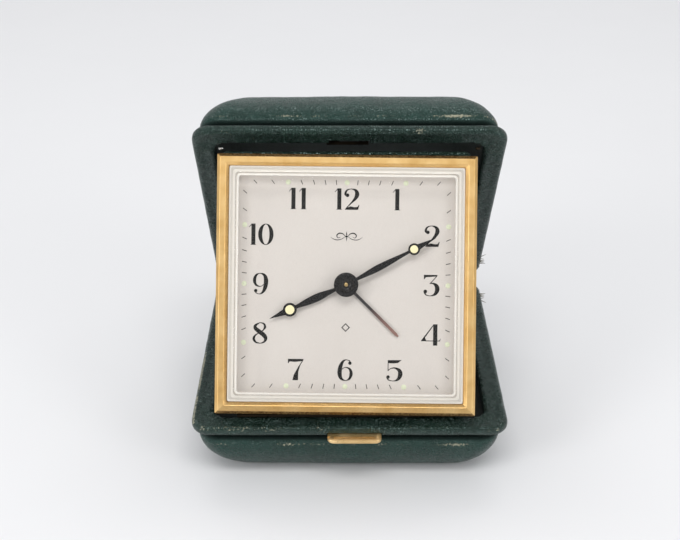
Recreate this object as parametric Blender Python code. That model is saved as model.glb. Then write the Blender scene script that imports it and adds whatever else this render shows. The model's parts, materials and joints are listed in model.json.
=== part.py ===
"""A folding travel alarm clock: a leather-covered clamshell case with a square wind-up alarm clock inside.

The base half of the case lies on its flat bottom, which is the origin. +X runs along both hinges, +Y points
back to the case hinge and +Z is up. The lid stands open and the clock stands across the mouth of the case.
Sizes are in millimetres, and MM turns them into Blender's metres.
"""

import math

import bmesh
import bpy

MM = 0.001

# The case, both halves alike. Depths inside a half run away from the plane where the two rims meet.
CASE_WIDTH = 81.0
CASE_LENGTH = 78.5
CASE_CORNER = 5.0
HALF_DEPTH = 18.0
RIM_THICK = 3.0
RIM_GAP = 0.15
FRONT_LIP = 5.5
BACK_LIP = 3.3
LEATHER_THICK = 1.3
SHELL_THICK = 0.5
LINING_THICK = 0.5
LAYER_GAP = 0.1
DOME_INSET = 1.75
DOME_EDGE = 10.0
DOME_STEPS = 4
CORNER_STEPS = 3

# The case hinge and how far the lid stands open at rest.
HINGE_Y = CASE_LENGTH / 2 + 1.7
HINGE_RADIUS = 1.6
HINGE_HALF = 27.0
HINGE_MIDDLE = 9.0
HINGE_PIN = 0.7
LID_OPEN = 55.3
REST_PIN_IN = 31.0
REST_PIN_OUT = 33.7
REST_PIN_Y = -31.85

# The clock hinge, just inside the front wall of the base, and the clock's lean from the horizontal. The clock
# stands a little left of the middle of its case.
CLOCK_X = -0.9
FOLD_Y = -CASE_LENGTH / 2 + 6.8
FOLD_Z = HALF_DEPTH - 1.0
FOLD_RADIUS = 1.1
FOLD_PIN = 0.45
LEAF_HALF = 20.0
BRACKET_HALF = 28.0
CLOCK_LEAN = 62.35

# The clock in its own frame: x, v up the face from the hinge, w out of the face.
FACE_V = 33.8
BEZEL_OPENING = 30.2
CAN_HALF = 30.0
CAN_WALL = 0.6
CAN_BACK = -8.0
DIAL_HALF = 30.7
DIAL_W = 1.5
DIAL_THICK = 0.6
CRYSTAL_HALF = 31.2
CRYSTAL_BLOCK = 27.6
HOUR_HAND = 21.3
MINUTE_HAND = 25.8
ALARM_HAND = 18.8
HOUR_ANGLE = 246.0
MINUTE_ANGLE = 62.5
ALARM_ANGLE = 135.0

# The movement between its plates.
PLATE_HALF = 28.0
PLATE_THICK = 0.8
FRONT_PLATE_W = -0.6
BACK_PLATE_W = -6.8
PIVOT = 0.35
HOLE = 0.45
PIVOT_SUNK = 0.05
END_SHAKE = 0.12
SHOULDER_SLOPE = 0.05
KEY_BACK = -10.9
KEY_FRONT = -8.4

# Tooth counts and modules: (wheel teeth, pinion teeth, module) for each mesh of the going train.
BARREL_MESH = (60, 10, 0.44)
CENTRE_MESH = (48, 6, 0.36)
THIRD_MESH = (45, 6, 0.32)
FOURTH_MESH = (48, 6, 0.26)
CANNON_MESH = (10, 30, 0.3)
HOUR_MESH = (8, 32, 0.3)
ALARM_TEETH = 40
ALARM_MODULE = 0.36


def polar(origin, distance, degrees):
    """The point at a distance and an angle from another."""
    angle = math.radians(degrees)
    return (origin[0] + distance * math.cos(angle), origin[1] + distance * math.sin(angle))


def mesh_distance(mesh):
    """How far apart the arbors of two meshed wheels stand."""
    return mesh[2] * (mesh[0] + mesh[1]) / 2


# The arbors, as seen from the front of the clock, with the direction in which each one follows the last.
CENTRE = (0.0, FACE_V)
BARREL_DIRECTION = 225.0
THIRD_DIRECTION = 100.0
FOURTH_DIRECTION = 20.0
ESCAPE_DIRECTION = -10.0
MOTION_DIRECTION = 180.0
ALARM_SET_DIRECTION = 160.0
TIME_BARREL = polar(CENTRE, mesh_distance(BARREL_MESH), BARREL_DIRECTION)
THIRD = polar(CENTRE, mesh_distance(CENTRE_MESH), THIRD_DIRECTION)
FOURTH = polar(THIRD, mesh_distance(THIRD_MESH), FOURTH_DIRECTION)
ESCAPE = polar(FOURTH, mesh_distance(FOURTH_MESH), ESCAPE_DIRECTION)
PALLET = polar(ESCAPE, 5.4, 20.0)
BALANCE = polar(PALLET, 7.4, 70.0)
MOTION = polar(CENTRE, mesh_distance(CANNON_MESH), MOTION_DIRECTION)
ALARM_SET = polar(CENTRE, ALARM_TEETH * ALARM_MODULE, ALARM_SET_DIRECTION)
ALARM_BARREL = (13.2, FACE_V - 12.4)
HAMMER = (-21.0, FACE_V + 11.0)
STOP_BUTTON = (-2.0, FACE_V + 23.5)
PILLARS = [(x, FACE_V + v) for x in (-25.8, 25.8) for v in (-25.8, 25.8)]
BACK_SCREWS = [(-25.8, FACE_V + 25.8), (25.8, FACE_V - 25.8)]

# The latch in the front lip of the base.
LATCH_X = 1.2
LATCH_HALF = 6.8
LATCH_THICK = 1.0


def clear_scene():
    for obj in list(bpy.data.objects):
        bpy.data.objects.remove(obj, do_unlink=True)


def principled(name, colour, roughness, metallic=0.0, transmission=0.0):
    material = bpy.data.materials.new(name)
    material.use_nodes = True
    shader = material.node_tree.nodes["Principled BSDF"]
    shader.inputs["Base Color"].default_value = (*colour, 1.0)
    shader.inputs["Roughness"].default_value = roughness
    shader.inputs["Metallic"].default_value = metallic
    shader.inputs["Transmission Weight"].default_value = transmission
    material.diffuse_color = (*colour, 1.0)
    return material


# Rings and the closed meshes that they make. A mesh here is a pair: points and faces.


def square_ring(x0, x1, y0, y1, corner, z, steps=CORNER_STEPS):
    """Points round a rectangle with round corners, anticlockwise from its +X side."""
    centres = [(x1 - corner, y1 - corner), (x0 + corner, y1 - corner), (x0 + corner, y0 + corner)]
    centres.append((x1 - corner, y0 + corner))
    ring = []
    for quarter, (cx, cy) in enumerate(centres):
        for step in range(steps + 1):
            x, y = polar((cx, cy), corner, 90 * quarter + 90 * step / steps)
            ring.append((x, y, z))
    return ring


def centred_ring(half, z, corner=2.0, steps=2):
    """A square ring round the middle of the clock's face."""
    return square_ring(-half, half, FACE_V - half, FACE_V + half, corner, z, steps)


def circle(centre, radius, z, sides=16):
    return [(*polar(centre, radius, 360 * i / sides), z) for i in range(sides)]


def pointed_teeth(centre, teeth, module, z, phase):
    """A wheel's rim: a point at each tooth's tip and one at each root, the first tooth at the phase angle."""
    pitch = teeth * module / 2
    radii = (pitch + 0.7 * module, pitch - 1.3 * module)
    return [(*polar(centre, radii[i % 2], phase + 180 * i / teeth), z) for i in range(2 * teeth)]


def square_teeth(centre, teeth, module, z, phase):
    """A pinion's rim: four points to each leaf, the first leaf at the phase angle."""
    pitch = teeth * module / 2
    corners = [(-0.2, -1.2), (-0.11, 0.7), (0.11, 0.7), (0.2, -1.2)]
    ring = []
    for tooth in range(teeth):
        for share, rise in corners:
            angle = phase + 360 * (tooth + share) / teeth
            ring.append((*polar(centre, pitch + rise * module, angle), z))
    return ring


def loft(rings, closed=False):
    """Joins rings of equal length. An open stack is capped; a closed one comes back to its first ring."""
    count = len(rings[0])
    faces = []
    for low in range(len(rings) if closed else len(rings) - 1):
        a, b = low * count, (low + 1) % len(rings) * count
        faces += [(a + j, a + (j + 1) % count, b + (j + 1) % count, b + j) for j in range(count)]
    if not closed:
        last = (len(rings) - 1) * count
        faces.append(tuple(reversed(range(count))))
        faces.append(tuple(range(last, last + count)))
    return [point for ring in rings for point in ring], faces


def bowl(outer, inner):
    """An open shell: outer and inner rings both run from the mouth to the bottom."""
    return loft(list(reversed(inner)) + list(outer))


def disc(centre, radius, low, high, sides=16):
    return loft([circle(centre, radius, low, sides), circle(centre, radius, high, sides)])


def turned(centre, profile, sides=16):
    """A solid of revolution from (radius, height) pairs."""
    return loft([circle(centre, radius, z, sides) for radius, z in profile])


def pipe(centre, bore, radius, low, high, sides=16):
    profile = [(bore, low), (radius, low), (radius, high), (bore, high)]
    return loft([circle(centre, r, z, sides) for r, z in profile], closed=True)


def block(x0, x1, y0, y1, z0, z1):
    corners = [(x1, y1), (x0, y1), (x0, y0), (x1, y0)]
    return loft([[(x, y, z) for x, y in corners] for z in (z0, z1)])


def rod(x0, x1, y, z, radius, sides=12):
    """A round bar along X."""
    rings = []
    for x in (x0, x1):
        rings.append([(x, *polar((y, z), radius, 360 * (i + 0.5) / sides)) for i in range(sides)])
    return loft(rings)


def prism(outline, low, high):
    return loft([[(x, y, z) for x, y in outline] for z in (low, high)])


def flap(side, mesh):
    """A mesh turned about the rims' plane: side +1 is the closed lid, and side -1 is the base."""
    points, faces = mesh
    return [(x, y, HALF_DEPTH + side * depth) for x, y, depth in points], faces


def spiral(centre, inner, outer, turns, thick, low, high, steps=12):
    """A flat strip wound in a spiral."""
    count = int(turns * steps)
    middle = [(inner + (outer - inner) * i / count, 360 * i / steps) for i in range(count + 1)]
    outline = [polar(centre, radius + thick / 2, angle) for radius, angle in middle]
    outline += [polar(centre, radius - thick / 2, angle) for radius, angle in reversed(middle)]
    return prism(outline, low, high)


# Objects. A piece is one mesh, with others fused to it or cut out of it.


def mesh_object(name, mesh, parent, at):
    """An object whose origin is at a point of its parent's frame, with its faces turned outwards."""
    points, faces = mesh
    data = bpy.data.meshes.new(name)
    data.from_pydata([[(p - q) * MM for p, q in zip(point, at)] for point in points], [], faces)
    shape = bmesh.new()
    shape.from_mesh(data)
    bmesh.ops.recalc_face_normals(shape, faces=shape.faces)
    shape.to_mesh(data)
    shape.free()
    data.shade_smooth()
    data.set_sharp_from_angle(angle=math.radians(35))
    obj = bpy.data.objects.new(name, data)
    bpy.context.scene.collection.objects.link(obj)
    obj.parent = parent
    obj.location = [(q - o) * MM for q, o in zip(at, frame_origin(parent))]
    return obj


def frame_origin(parent):
    return parent["origin"] if parent else (0, 0, 0)


def frame(name, origin, location, pitch):
    """An empty on a joint's axis, turned about X. Points are given as its children see them from origin."""
    empty = bpy.data.objects.new(name, None)
    empty["origin"] = origin
    empty.location = [value * MM for value in location]
    empty.rotation_euler = (math.radians(pitch), 0, 0)
    bpy.context.scene.collection.objects.link(empty)
    return empty


def piece(name, mesh, material, parent=None, at=(0, 0, 0), fuse=(), cut=()):
    """One sub-part, with hidden tools for the Booleans that shape it."""
    obj = mesh_object(name, mesh, parent, at)
    obj.data.materials.append(material)
    tools = [("UNION", tool) for tool in fuse] + [("DIFFERENCE", tool) for tool in cut]
    for number, (operation, tool) in enumerate(tools):
        helper = mesh_object(f"{name}.tool{number}", tool, parent, at)
        helper.hide_render = True
        helper.display_type = "WIRE"
        modifier = obj.modifiers.new(f"{operation.lower()} {number}", "BOOLEAN")
        modifier.operation = operation
        modifier.object = helper
    return obj


# The case halves.


def dome_ring(shrink, share):
    """One ring of the dome at a share of its edge's quarter turn, shrunk by the layers outside it."""
    turn = math.radians(90 * share)
    inset = DOME_INSET + shrink + (DOME_EDGE - shrink) * (1 - math.cos(turn))
    depth = RIM_THICK + LAYER_GAP + (HALF_DEPTH - shrink - RIM_THICK - LAYER_GAP) * math.sin(turn)
    x, y = CASE_WIDTH / 2 - inset, CASE_LENGTH / 2 - inset
    corner = max(CASE_CORNER - shrink, 3.0) + 3 * share
    return square_ring(-x, x, -y, y, corner, depth)


def dome(shrink, thick):
    """One layer of a case half, thick towards the inside."""
    shares = [i / DOME_STEPS for i in range(DOME_STEPS + 1)]
    outer = [dome_ring(shrink, share) for share in shares]
    inner = [dome_ring(shrink + thick, share) for share in shares]
    return bowl(outer, inner)


def lip_ring(grow, corner, depth):
    """A ring of the rim's inner edge, grown outwards."""
    x = CASE_WIDTH / 2 - FRONT_LIP + grow
    y0, y1 = -CASE_LENGTH / 2 + FRONT_LIP - grow, CASE_LENGTH / 2 - BACK_LIP + grow
    return square_ring(-x, x, y0, y1, corner, depth)


def edge_ring(inset, depth):
    """A ring of the rim's outer edge."""
    x, y = CASE_WIDTH / 2 - inset, CASE_LENGTH / 2 - inset
    return square_ring(-x, x, -y, y, CASE_CORNER - inset, depth)


def rim_leather():
    """A channel of leather that wraps the rim's steel frame, open towards the dome."""
    wrap = 0.8
    bevel = 0.5
    rings = [edge_ring(bevel, RIM_GAP), edge_ring(0, RIM_GAP + bevel), edge_ring(0, RIM_THICK)]
    rings += [edge_ring(wrap, RIM_THICK), edge_ring(wrap, RIM_GAP + wrap)]
    rings += [lip_ring(wrap, 4.8, RIM_GAP + wrap), lip_ring(wrap, 4.8, RIM_THICK)]
    rings += [lip_ring(0, 4.0, RIM_THICK), lip_ring(0, 4.0, RIM_GAP + bevel), lip_ring(bevel, 4.5, RIM_GAP)]
    return loft(rings, closed=True)


def rim_frame():
    """The steel ring inside the rim's leather."""
    inset, corner = 0.9, 4.9
    low, high = RIM_GAP + inset, RIM_THICK - 0.1
    rings = [edge_ring(inset, low), edge_ring(inset, high)]
    rings += [lip_ring(inset, corner, high), lip_ring(inset, corner, low)]
    return loft(rings, closed=True)


def hinge_leaf(side, spans):
    """Knuckles on the hinge line, joined by a strap that lies behind the rim's back edge."""
    back = HINGE_Y - HINGE_RADIUS
    strap = (back, back + 0.45)
    web = (back + 0.02, HINGE_Y - 0.9)
    near, far = HALF_DEPTH + side * 0.25, HALF_DEPTH + side * RIM_THICK
    plate_near = HALF_DEPTH + side * (HINGE_RADIUS + 0.2)
    plate = block(-HINGE_HALF, HINGE_HALF, *strap, *sorted((plate_near, far)))
    fuse = []
    for x0, x1 in spans:
        fuse.append(block(x0, x1, *strap, *sorted((near, far))))
        fuse.append(rod(x0, x1, HINGE_Y, HALF_DEPTH, HINGE_RADIUS))
        fuse.append(block(x0, x1, *web, *sorted((near, HALF_DEPTH + side))))
    bore = rod(-HINGE_HALF - 1, HINGE_HALF + 1, HINGE_Y, HALF_DEPTH, HINGE_PIN + 0.15)
    return plate, fuse, [bore]


def case_half(half, side, parent, at, paint):
    """The leather cover, the pressed shell, the lining, and the rim's leather over its frame."""
    shell_shrink = LEATHER_THICK + LAYER_GAP
    lining_shrink = shell_shrink + SHELL_THICK + LAYER_GAP
    piece(half + "_cover", flap(side, dome(0, LEATHER_THICK)), paint["leather"], parent, at)
    piece(half + "_shell", flap(side, dome(shell_shrink, SHELL_THICK)), paint["steel"], parent, at)
    piece(half + "_lining", flap(side, dome(lining_shrink, LINING_THICK)), paint["lining"], parent, at)
    notch = []
    if side < 0:
        x0, x1 = LATCH_X - LATCH_HALF - 0.25, LATCH_X + LATCH_HALF + 0.25
        depth = HALF_DEPTH - RIM_THICK
        front = -CASE_LENGTH / 2
        notch = [block(x0, x1, front - 1, front + FRONT_LIP + 1, depth - 1, depth + LATCH_THICK + 0.35)]
    piece(half + "_rim", flap(side, rim_leather()), paint["leather"], parent, at, cut=notch)
    piece(half + "_frame", flap(side, rim_frame()), paint["steel"], parent, at, cut=notch)


def make_base(paint):
    origin = (0, 0, 0)
    case_half("base", -1, None, origin, paint)
    spans = [(-HINGE_HALF, -HINGE_MIDDLE - 0.2), (HINGE_MIDDLE + 0.2, HINGE_HALF)]
    plate, fuse, cut = hinge_leaf(-1, spans)
    piece("base_hinge_leaf", plate, paint["brass"], fuse=fuse, cut=cut)
    pin = rod(-HINGE_HALF, HINGE_HALF, HINGE_Y, HALF_DEPTH, HINGE_PIN, 8)
    piece("case_hinge_pin", pin, paint["steel"])
    left, right = CLOCK_X - BRACKET_HALF, CLOCK_X + BRACKET_HALF
    bracket_plate = block(left, right, FOLD_Y - 1.2, FOLD_Y - 0.75, FOLD_Z - 6, FOLD_Z - 1.35)
    knuckles = []
    for x0, x1 in ((left, CLOCK_X - LEAF_HALF - 0.3), (CLOCK_X + LEAF_HALF + 0.3, right)):
        knuckles.append(rod(x0, x1, FOLD_Y, FOLD_Z, FOLD_RADIUS))
        knuckles.append(block(x0, x1, FOLD_Y - 1.2, FOLD_Y - 0.3, FOLD_Z - 1.6, FOLD_Z))
    bore = rod(left - 1, right + 1, FOLD_Y, FOLD_Z, FOLD_PIN + 0.12)
    piece("clock_hinge_bracket", bracket_plate, paint["brass"], fuse=knuckles, cut=[bore])
    piece("clock_hinge_pin", rod(left, right, FOLD_Y, FOLD_Z, FOLD_PIN, 8), paint["steel"])


def make_latch(paint):
    """The push tab slides in a notch of the front lip, and a bent leaf spring behind it pushes it out."""
    front = -CASE_LENGTH / 2
    low = HALF_DEPTH - RIM_THICK + 0.15
    nose = 1.6
    x0, x1 = LATCH_X - LATCH_HALF, LATCH_X + LATCH_HALF
    outline = [(x1, front + 2.9), (x0, front + 2.9), (x0, front - 3 + nose)]
    outline += [polar((x0 + nose, front - 3 + nose), nose, angle) for angle in (210, 240, 270)]
    outline += [polar((x1 - nose, front - 3 + nose), nose, angle) for angle in (270, 300, 330)]
    outline.append((x1, front - 3 + nose))
    at = (LATCH_X, front, low)
    piece("latch_tab", prism(outline, low, low + LATCH_THICK), paint["gold"], at=at)
    wave = [(-5.5, 3.2), (-2.75, 4.5), (0, 3.2), (2.75, 4.5), (5.5, 3.2)]
    strip = [(LATCH_X + x, front + y) for x, y in wave]
    strip += [(LATCH_X + x, front + y + 0.35) for x, y in reversed(wave)]
    piece("latch_spring", prism(strip, low + 0.1, low + LATCH_THICK - 0.1), paint["steel"])


def make_lid(paint):
    hinge = (0, HINGE_Y, HALF_DEPTH)
    lid = frame("lid_axis", hinge, hinge, -LID_OPEN)
    case_half("lid", 1, lid, hinge, paint)
    plate, fuse, cut = hinge_leaf(1, [(-HINGE_MIDDLE, HINGE_MIDDLE)])
    piece("lid_hinge_leaf", plate, paint["brass"], lid, hinge, fuse, cut)
    lip = -CASE_LENGTH / 2 + FRONT_LIP
    striker = block(-6, 5, lip + 0.1, lip + 0.5, HALF_DEPTH + 0.3, HALF_DEPTH + RIM_THICK - 0.2)
    piece("catch_plate", striker, paint["brass"], lid, hinge)
    for word, side in (("left", -1), ("right", 1)):
        x0, x1 = sorted((side * REST_PIN_IN, side * REST_PIN_OUT))
        pin = rod(x0, x1, REST_PIN_Y, HALF_DEPTH + 0.2, 0.7)
        piece("rest_pin_" + word, pin, paint["steel"], lid, hinge)


# The clock's outside.


def make_clock_case(clock, paint):
    at = (0, 0, 0)
    leaf_plate = block(-LEAF_HALF, LEAF_HALF, -0.6, 3.5, -2.1, -1.65)
    knuckle = rod(-LEAF_HALF, LEAF_HALF, 0, 0, FOLD_RADIUS)
    web = block(-LEAF_HALF, LEAF_HALF, -0.6, 0.9, -1.9, 0)
    bore = rod(-LEAF_HALF - 1, LEAF_HALF + 1, 0, 0, FOLD_PIN + 0.12)
    piece("clock_hinge_leaf", leaf_plate, paint["brass"], clock, at, [knuckle, web], [bore])
    low, high, side = 1.3, 67.9, 32.4
    rings = []
    for z in (-1.5, 2.2):
        rings.append(square_ring(-side, side, low, high, 2.0, z, 2))
    for z in (2.2, -1.5):
        rings.append(centred_ring(DIAL_HALF + 0.2, z, 1.5))
    piece("clock_surround", loft(rings, closed=True), paint["leather"], clock, at)
    profile = [(33.0, 2.4), (33.0, 4.9), (32.2, 6.0), (30.9, 6.0)]
    profile += [(BEZEL_OPENING, 5.5), (BEZEL_OPENING, 3.9), (31.5, 3.9), (31.5, 2.4)]
    bezel = loft([centred_ring(half, z, 0.6) for half, z in profile], closed=True)
    piece("bezel", bezel, paint["gold"], clock, at)
    step, block_half = BEZEL_OPENING - 0.2, CRYSTAL_BLOCK
    outside = [(CRYSTAL_HALF, 2.5), (CRYSTAL_HALF, 3.6), (step, 3.6), (step, 5.2)]
    outside += [(block_half, 5.4), (block_half - 0.3, 8.3), (block_half - 0.8, 8.75)]
    inside = [(29.0, 2.5), (29.0, 4.1), (block_half - 1.1, 4.3), (block_half - 1.3, 7.6)]
    outside = [centred_ring(half, z, 1.6) for half, z in outside]
    crystal = bowl(outside, [centred_ring(half, z, 1.2) for half, z in inside])
    piece("crystal", crystal, paint["acrylic"], clock, at)
    dial = loft([centred_ring(DIAL_HALF, z, 1.5) for z in (DIAL_W, DIAL_W + DIAL_THICK)])
    piece("dial", dial, paint["dial"], clock, at, cut=[disc(CENTRE, 1.9, 1, 3, 12)])


def make_movement_case(clock, paint):
    """The can is open to the front. Its back lets the keys, the knobs, the stop and the regulator through."""
    outer = [centred_ring(CAN_HALF, z, 3.0) for z in (DIAL_W - 0.1, CAN_BACK)]
    inner = [centred_ring(CAN_HALF - CAN_WALL, z, 2.4) for z in (DIAL_W - 0.1, CAN_BACK + CAN_WALL)]
    low, high = CAN_BACK - 1, CAN_BACK + CAN_WALL + 0.5
    holes = [disc(TIME_BARREL, 1.5, low, high, 12), disc(ALARM_BARREL, 1.5, low, high, 12)]
    holes += [disc(CENTRE, 1.0, low, high, 12), disc(ALARM_SET, 1.0, low, high, 12)]
    holes += [disc(STOP_BUTTON, 1.3, low, high, 12)]
    holes += [disc(screw, 0.75, low, high, 8) for screw in BACK_SCREWS]
    slot = [polar(BALANCE, 8.1, 250 + 8 * i) for i in range(-4, 5)]
    slot += [polar(BALANCE, 6.3, 250 + 8 * i) for i in range(4, -5, -1)]
    holes.append(prism(slot, low, high))
    piece("movement_case", bowl(outer, inner), paint["steel"], clock, cut=holes)


# The movement.


def arbor(centre, low, high, radius=0.5):
    """A round shaft with thinner pivots at both ends, whose shoulders stand clear of the plates."""
    neck = PLATE_THICK + END_SHAKE - PIVOT_SUNK
    shoulder = neck + SHOULDER_SLOPE
    profile = [(PIVOT, low), (PIVOT, low + neck), (radius, low + shoulder), (radius, high - shoulder)]
    profile += [(PIVOT, high - neck), (PIVOT, high)]
    return turned(centre, profile, 8)


PIVOT_LOW = BACK_PLATE_W + PIVOT_SUNK
PIVOT_HIGH = FRONT_PLATE_W + PLATE_THICK - PIVOT_SUNK


def wheel(name, centre, teeth, module, level, phase, material, clock, fuse=(), cut=(), thick=0.4):
    rings = [pointed_teeth(centre, teeth, module, z, phase) for z in (level, level + thick)]
    return piece(name, loft(rings), material, clock, (*centre, level), fuse, cut)


def pinion(centre, teeth, module, low, high, phase):
    return loft([square_teeth(centre, teeth, module, z, phase) for z in (low, high)])


def facing(direction, teeth):
    """The phase of a wheel that is reached along a direction, so that a gap faces the wheel it meshes with."""
    return direction + 180 + 180 / teeth


def make_plates(clock, paint):
    arbors = [CENTRE, THIRD, FOURTH, ESCAPE, PALLET, BALANCE, TIME_BARREL, ALARM_BARREL, HAMMER]
    wide = {CENTRE: 1.0, TIME_BARREL: 1.5, ALARM_BARREL: 1.5}
    back_only = [(ALARM_SET, 0.75), (STOP_BUTTON, 1.3)]
    for name, low in (("front_plate", FRONT_PLATE_W), ("back_plate", BACK_PLATE_W)):
        rings = [centred_ring(PLATE_HALF, z, 3.0) for z in (low, low + PLATE_THICK)]
        holes = [(centre, wide.get(centre, HOLE)) for centre in arbors]
        holes += back_only[:1] if name == "front_plate" else back_only
        if name == "back_plate":
            holes += [(screw, 0.75) for screw in BACK_SCREWS]
        cuts = [disc(centre, r, low - 1, low + PLATE_THICK + 1, 8) for centre, r in holes]
        stud = [disc(MOTION, 0.35, low + 0.1, low + PLATE_THICK + 0.75, 8)] if name == "front_plate" else []
        piece(name, loft(rings), paint["brass"], clock, fuse=stud, cut=cuts)
    low, high = BACK_PLATE_W + PLATE_THICK + 0.05, FRONT_PLATE_W - 0.05
    for number, centre in enumerate(PILLARS, 1):
        screw_hole = [disc(centre, 0.7, low - 1, low + 2.2, 8)] if centre in BACK_SCREWS else []
        name = f"pillar_{number}"
        piece(name, disc(centre, 1.3, low, high, 10), paint["brass"], clock, (*centre, low), cut=screw_hole)
    for number, centre in enumerate(BACK_SCREWS, 1):
        profile = [(1.3, CAN_BACK - 0.6), (1.3, CAN_BACK - 0.05), (0.6, CAN_BACK - 0.04), (0.6, low + 2)]
        screw = turned(centre, profile, 10)
        piece(f"back_screw_{number}", screw, paint["steel"], clock, (*centre, CAN_BACK))


def barrel(name, centre, radius, teeth, clock, paint, low, phase=0.0, rim_module=0.0):
    """A drum, open at the front, that holds a mainspring; the going barrel has teeth round its back."""
    high = FRONT_PLATE_W - 1.4
    outer = [circle(centre, radius, z, 20) for z in (high, low)]
    inner = [circle(centre, radius - 0.5, z, 20) for z in (high, low + 0.5)]
    bore = [disc(centre, 1.2, low - 1, low + 1, 12)]
    teeth_ring = []
    if teeth:
        rings = [pointed_teeth(centre, teeth, rim_module, z, phase) for z in (low, low + 0.5)]
        teeth_ring = [loft(rings)]
    piece(name, bowl(outer, inner), paint["brass"], clock, (*centre, low), teeth_ring, bore)


def winding_key(name, centre, clock, paint):
    """The barrel's arbor, carried out through the back to a flat winged key."""
    profile = [(1.0, KEY_BACK + 0.5), (1.0, FRONT_PLATE_W + PLATE_THICK - 0.1)]
    shaft = turned(centre, profile, 10)
    hub = disc(centre, 1.9, KEY_BACK, KEY_FRONT, 12)
    x, v = centre
    wings = block(x - 5.6, x + 5.6, v - 0.6, v + 0.6, KEY_BACK, KEY_FRONT - 0.3)
    piece(name, shaft, paint["gold"], clock, (x, v, KEY_BACK), [hub, wings])


def knob(name, centre, radius, bore, clock, paint):
    """A knurled setting knob behind the case."""
    sides, ridge = 48, 0.25
    rings = []
    for z in (KEY_BACK, KEY_FRONT):
        radii = [radius + ridge if i % 4 in (1, 2) else radius for i in range(sides)]
        rings.append([(*polar(centre, r, 360 * i / sides), z) for i, r in enumerate(radii)])
    hole = [disc(centre, bore, KEY_BACK + 0.8, KEY_FRONT + 1, 10)]
    piece(name, loft(rings), paint["gold"], clock, (*centre, KEY_BACK), cut=hole)


def make_train(clock, paint):
    """The going train from the mainspring barrel to the balance."""
    brass, steel = paint["brass"], paint["steel"]
    back = BACK_PLATE_W + PLATE_THICK
    teeth, leaves, module = BARREL_MESH
    barrel_level = back + 0.4
    barrel("time_barrel", TIME_BARREL, 12.6, teeth, clock, paint, barrel_level, BARREL_DIRECTION + 180, module)
    spring = spiral(TIME_BARREL, 2.0, 11.4, 3, 0.5, barrel_level + 0.6, FRONT_PLATE_W - 1.6)
    piece("time_mainspring", spring, steel, clock, (*TIME_BARREL, barrel_level))
    winding_key("time_winding_key", TIME_BARREL, clock, paint)

    centre_level = FRONT_PLATE_W - 0.9
    tube_low, tube_high = BACK_PLATE_W + 0.1, FRONT_PLATE_W + PLATE_THICK - 0.1
    tube = disc(CENTRE, 0.85, tube_low, tube_high, 10)
    leaf_span = (barrel_level - 0.2, barrel_level + 0.7)
    centre_leaves = pinion(CENTRE, leaves, module, *leaf_span, BARREL_DIRECTION + 180 / leaves)
    bore = disc(CENTRE, 0.6, tube_low - 1, tube_high + 1, 10)
    teeth, leaves, module = CENTRE_MESH
    mesh = (CENTRE, teeth, module, centre_level, THIRD_DIRECTION)
    wheel("centre_wheel", *mesh, brass, clock, [tube, centre_leaves], [bore])

    leaf_span = (centre_level - 0.3, centre_level + 0.6)
    third_leaves = pinion(THIRD, leaves, module, *leaf_span, facing(THIRD_DIRECTION, leaves))
    teeth, leaves, module = THIRD_MESH
    third_level = -3.4
    shaft = arbor(THIRD, PIVOT_LOW, PIVOT_HIGH)
    mesh = (THIRD, teeth, module, third_level, FOURTH_DIRECTION)
    wheel("third_wheel", *mesh, brass, clock, [shaft, third_leaves])

    leaf_span = (third_level - 0.2, third_level + 0.6)
    fourth_leaves = pinion(FOURTH, leaves, module, *leaf_span, facing(FOURTH_DIRECTION, leaves))
    teeth, leaves, module = FOURTH_MESH
    fourth_level = -4.8
    shaft = arbor(FOURTH, PIVOT_LOW, PIVOT_HIGH)
    mesh = (FOURTH, teeth, module, fourth_level, ESCAPE_DIRECTION)
    wheel("fourth_wheel", *mesh, brass, clock, [shaft, fourth_leaves])

    leaf_span = (fourth_level - 0.2, fourth_level + 0.6)
    escape_leaves = pinion(ESCAPE, leaves, module, *leaf_span, facing(ESCAPE_DIRECTION, leaves))
    escape_level = -2.4
    shaft = arbor(ESCAPE, PIVOT_LOW, PIVOT_HIGH)
    wheel("escape_wheel", ESCAPE, 15, 0.52, escape_level, 20, steel, clock, [shaft, escape_leaves], thick=0.3)


def make_escapement(clock, paint):
    back_angle, ahead = 200.0, 70.0
    level = -2.4
    outline = [polar(PALLET, 1.6, back_angle + 70), polar(PALLET, 1.1, back_angle)]
    outline.append(polar(PALLET, 1.6, back_angle - 70))
    outline += [polar(PALLET, 5.6, ahead + 5), polar(PALLET, 5.6, ahead - 5)]
    fork = prism(outline, level, level + 0.3)
    shaft = arbor(PALLET, PIVOT_LOW, PIVOT_HIGH)
    piece("pallet_fork", fork, paint["steel"], clock, (*PALLET, level), [shaft])

    low, high, spoke = -4.4, -3.9, 5.0
    rim = pipe(BALANCE, 5.0, 5.8, low, high, 20)
    x, v = BALANCE
    bar = block(x - spoke - 0.3, x + spoke + 0.3, v - 0.45, v + 0.45, low + 0.05, high - 0.05)
    staff = arbor(BALANCE, PIVOT_LOW, PIVOT_HIGH)
    roller = disc(BALANCE, 1.1, -2.6, -1.9, 10)
    piece("balance_wheel", rim, paint["brass"], clock, (x, v, low), [bar, staff, roller])
    spring = spiral(BALANCE, 1.0, 3.6, 3, 0.12, -5.6, -5.0)
    piece("hairspring", spring, paint["steel"], clock, (x, v, -5.6))

    low = BACK_PLATE_W - 0.45
    lever = disc(BALANCE, 1.6, low, low + 0.3, 12)
    tip = polar(BALANCE, 7.2, 250)
    arm_end = [polar(tip, 0.45, 250 + side) for side in (-60, 60)]
    arm_root = [polar(BALANCE, 0.9, 250 + side) for side in (80, -80)]
    arm = prism(arm_end + arm_root, low, low + 0.3)
    finger = disc(tip, 0.55, CAN_BACK - 0.8, low + 0.3, 8)
    piece("regulator_lever", lever, paint["steel"], clock, (*BALANCE, low), [arm, finger])


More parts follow.
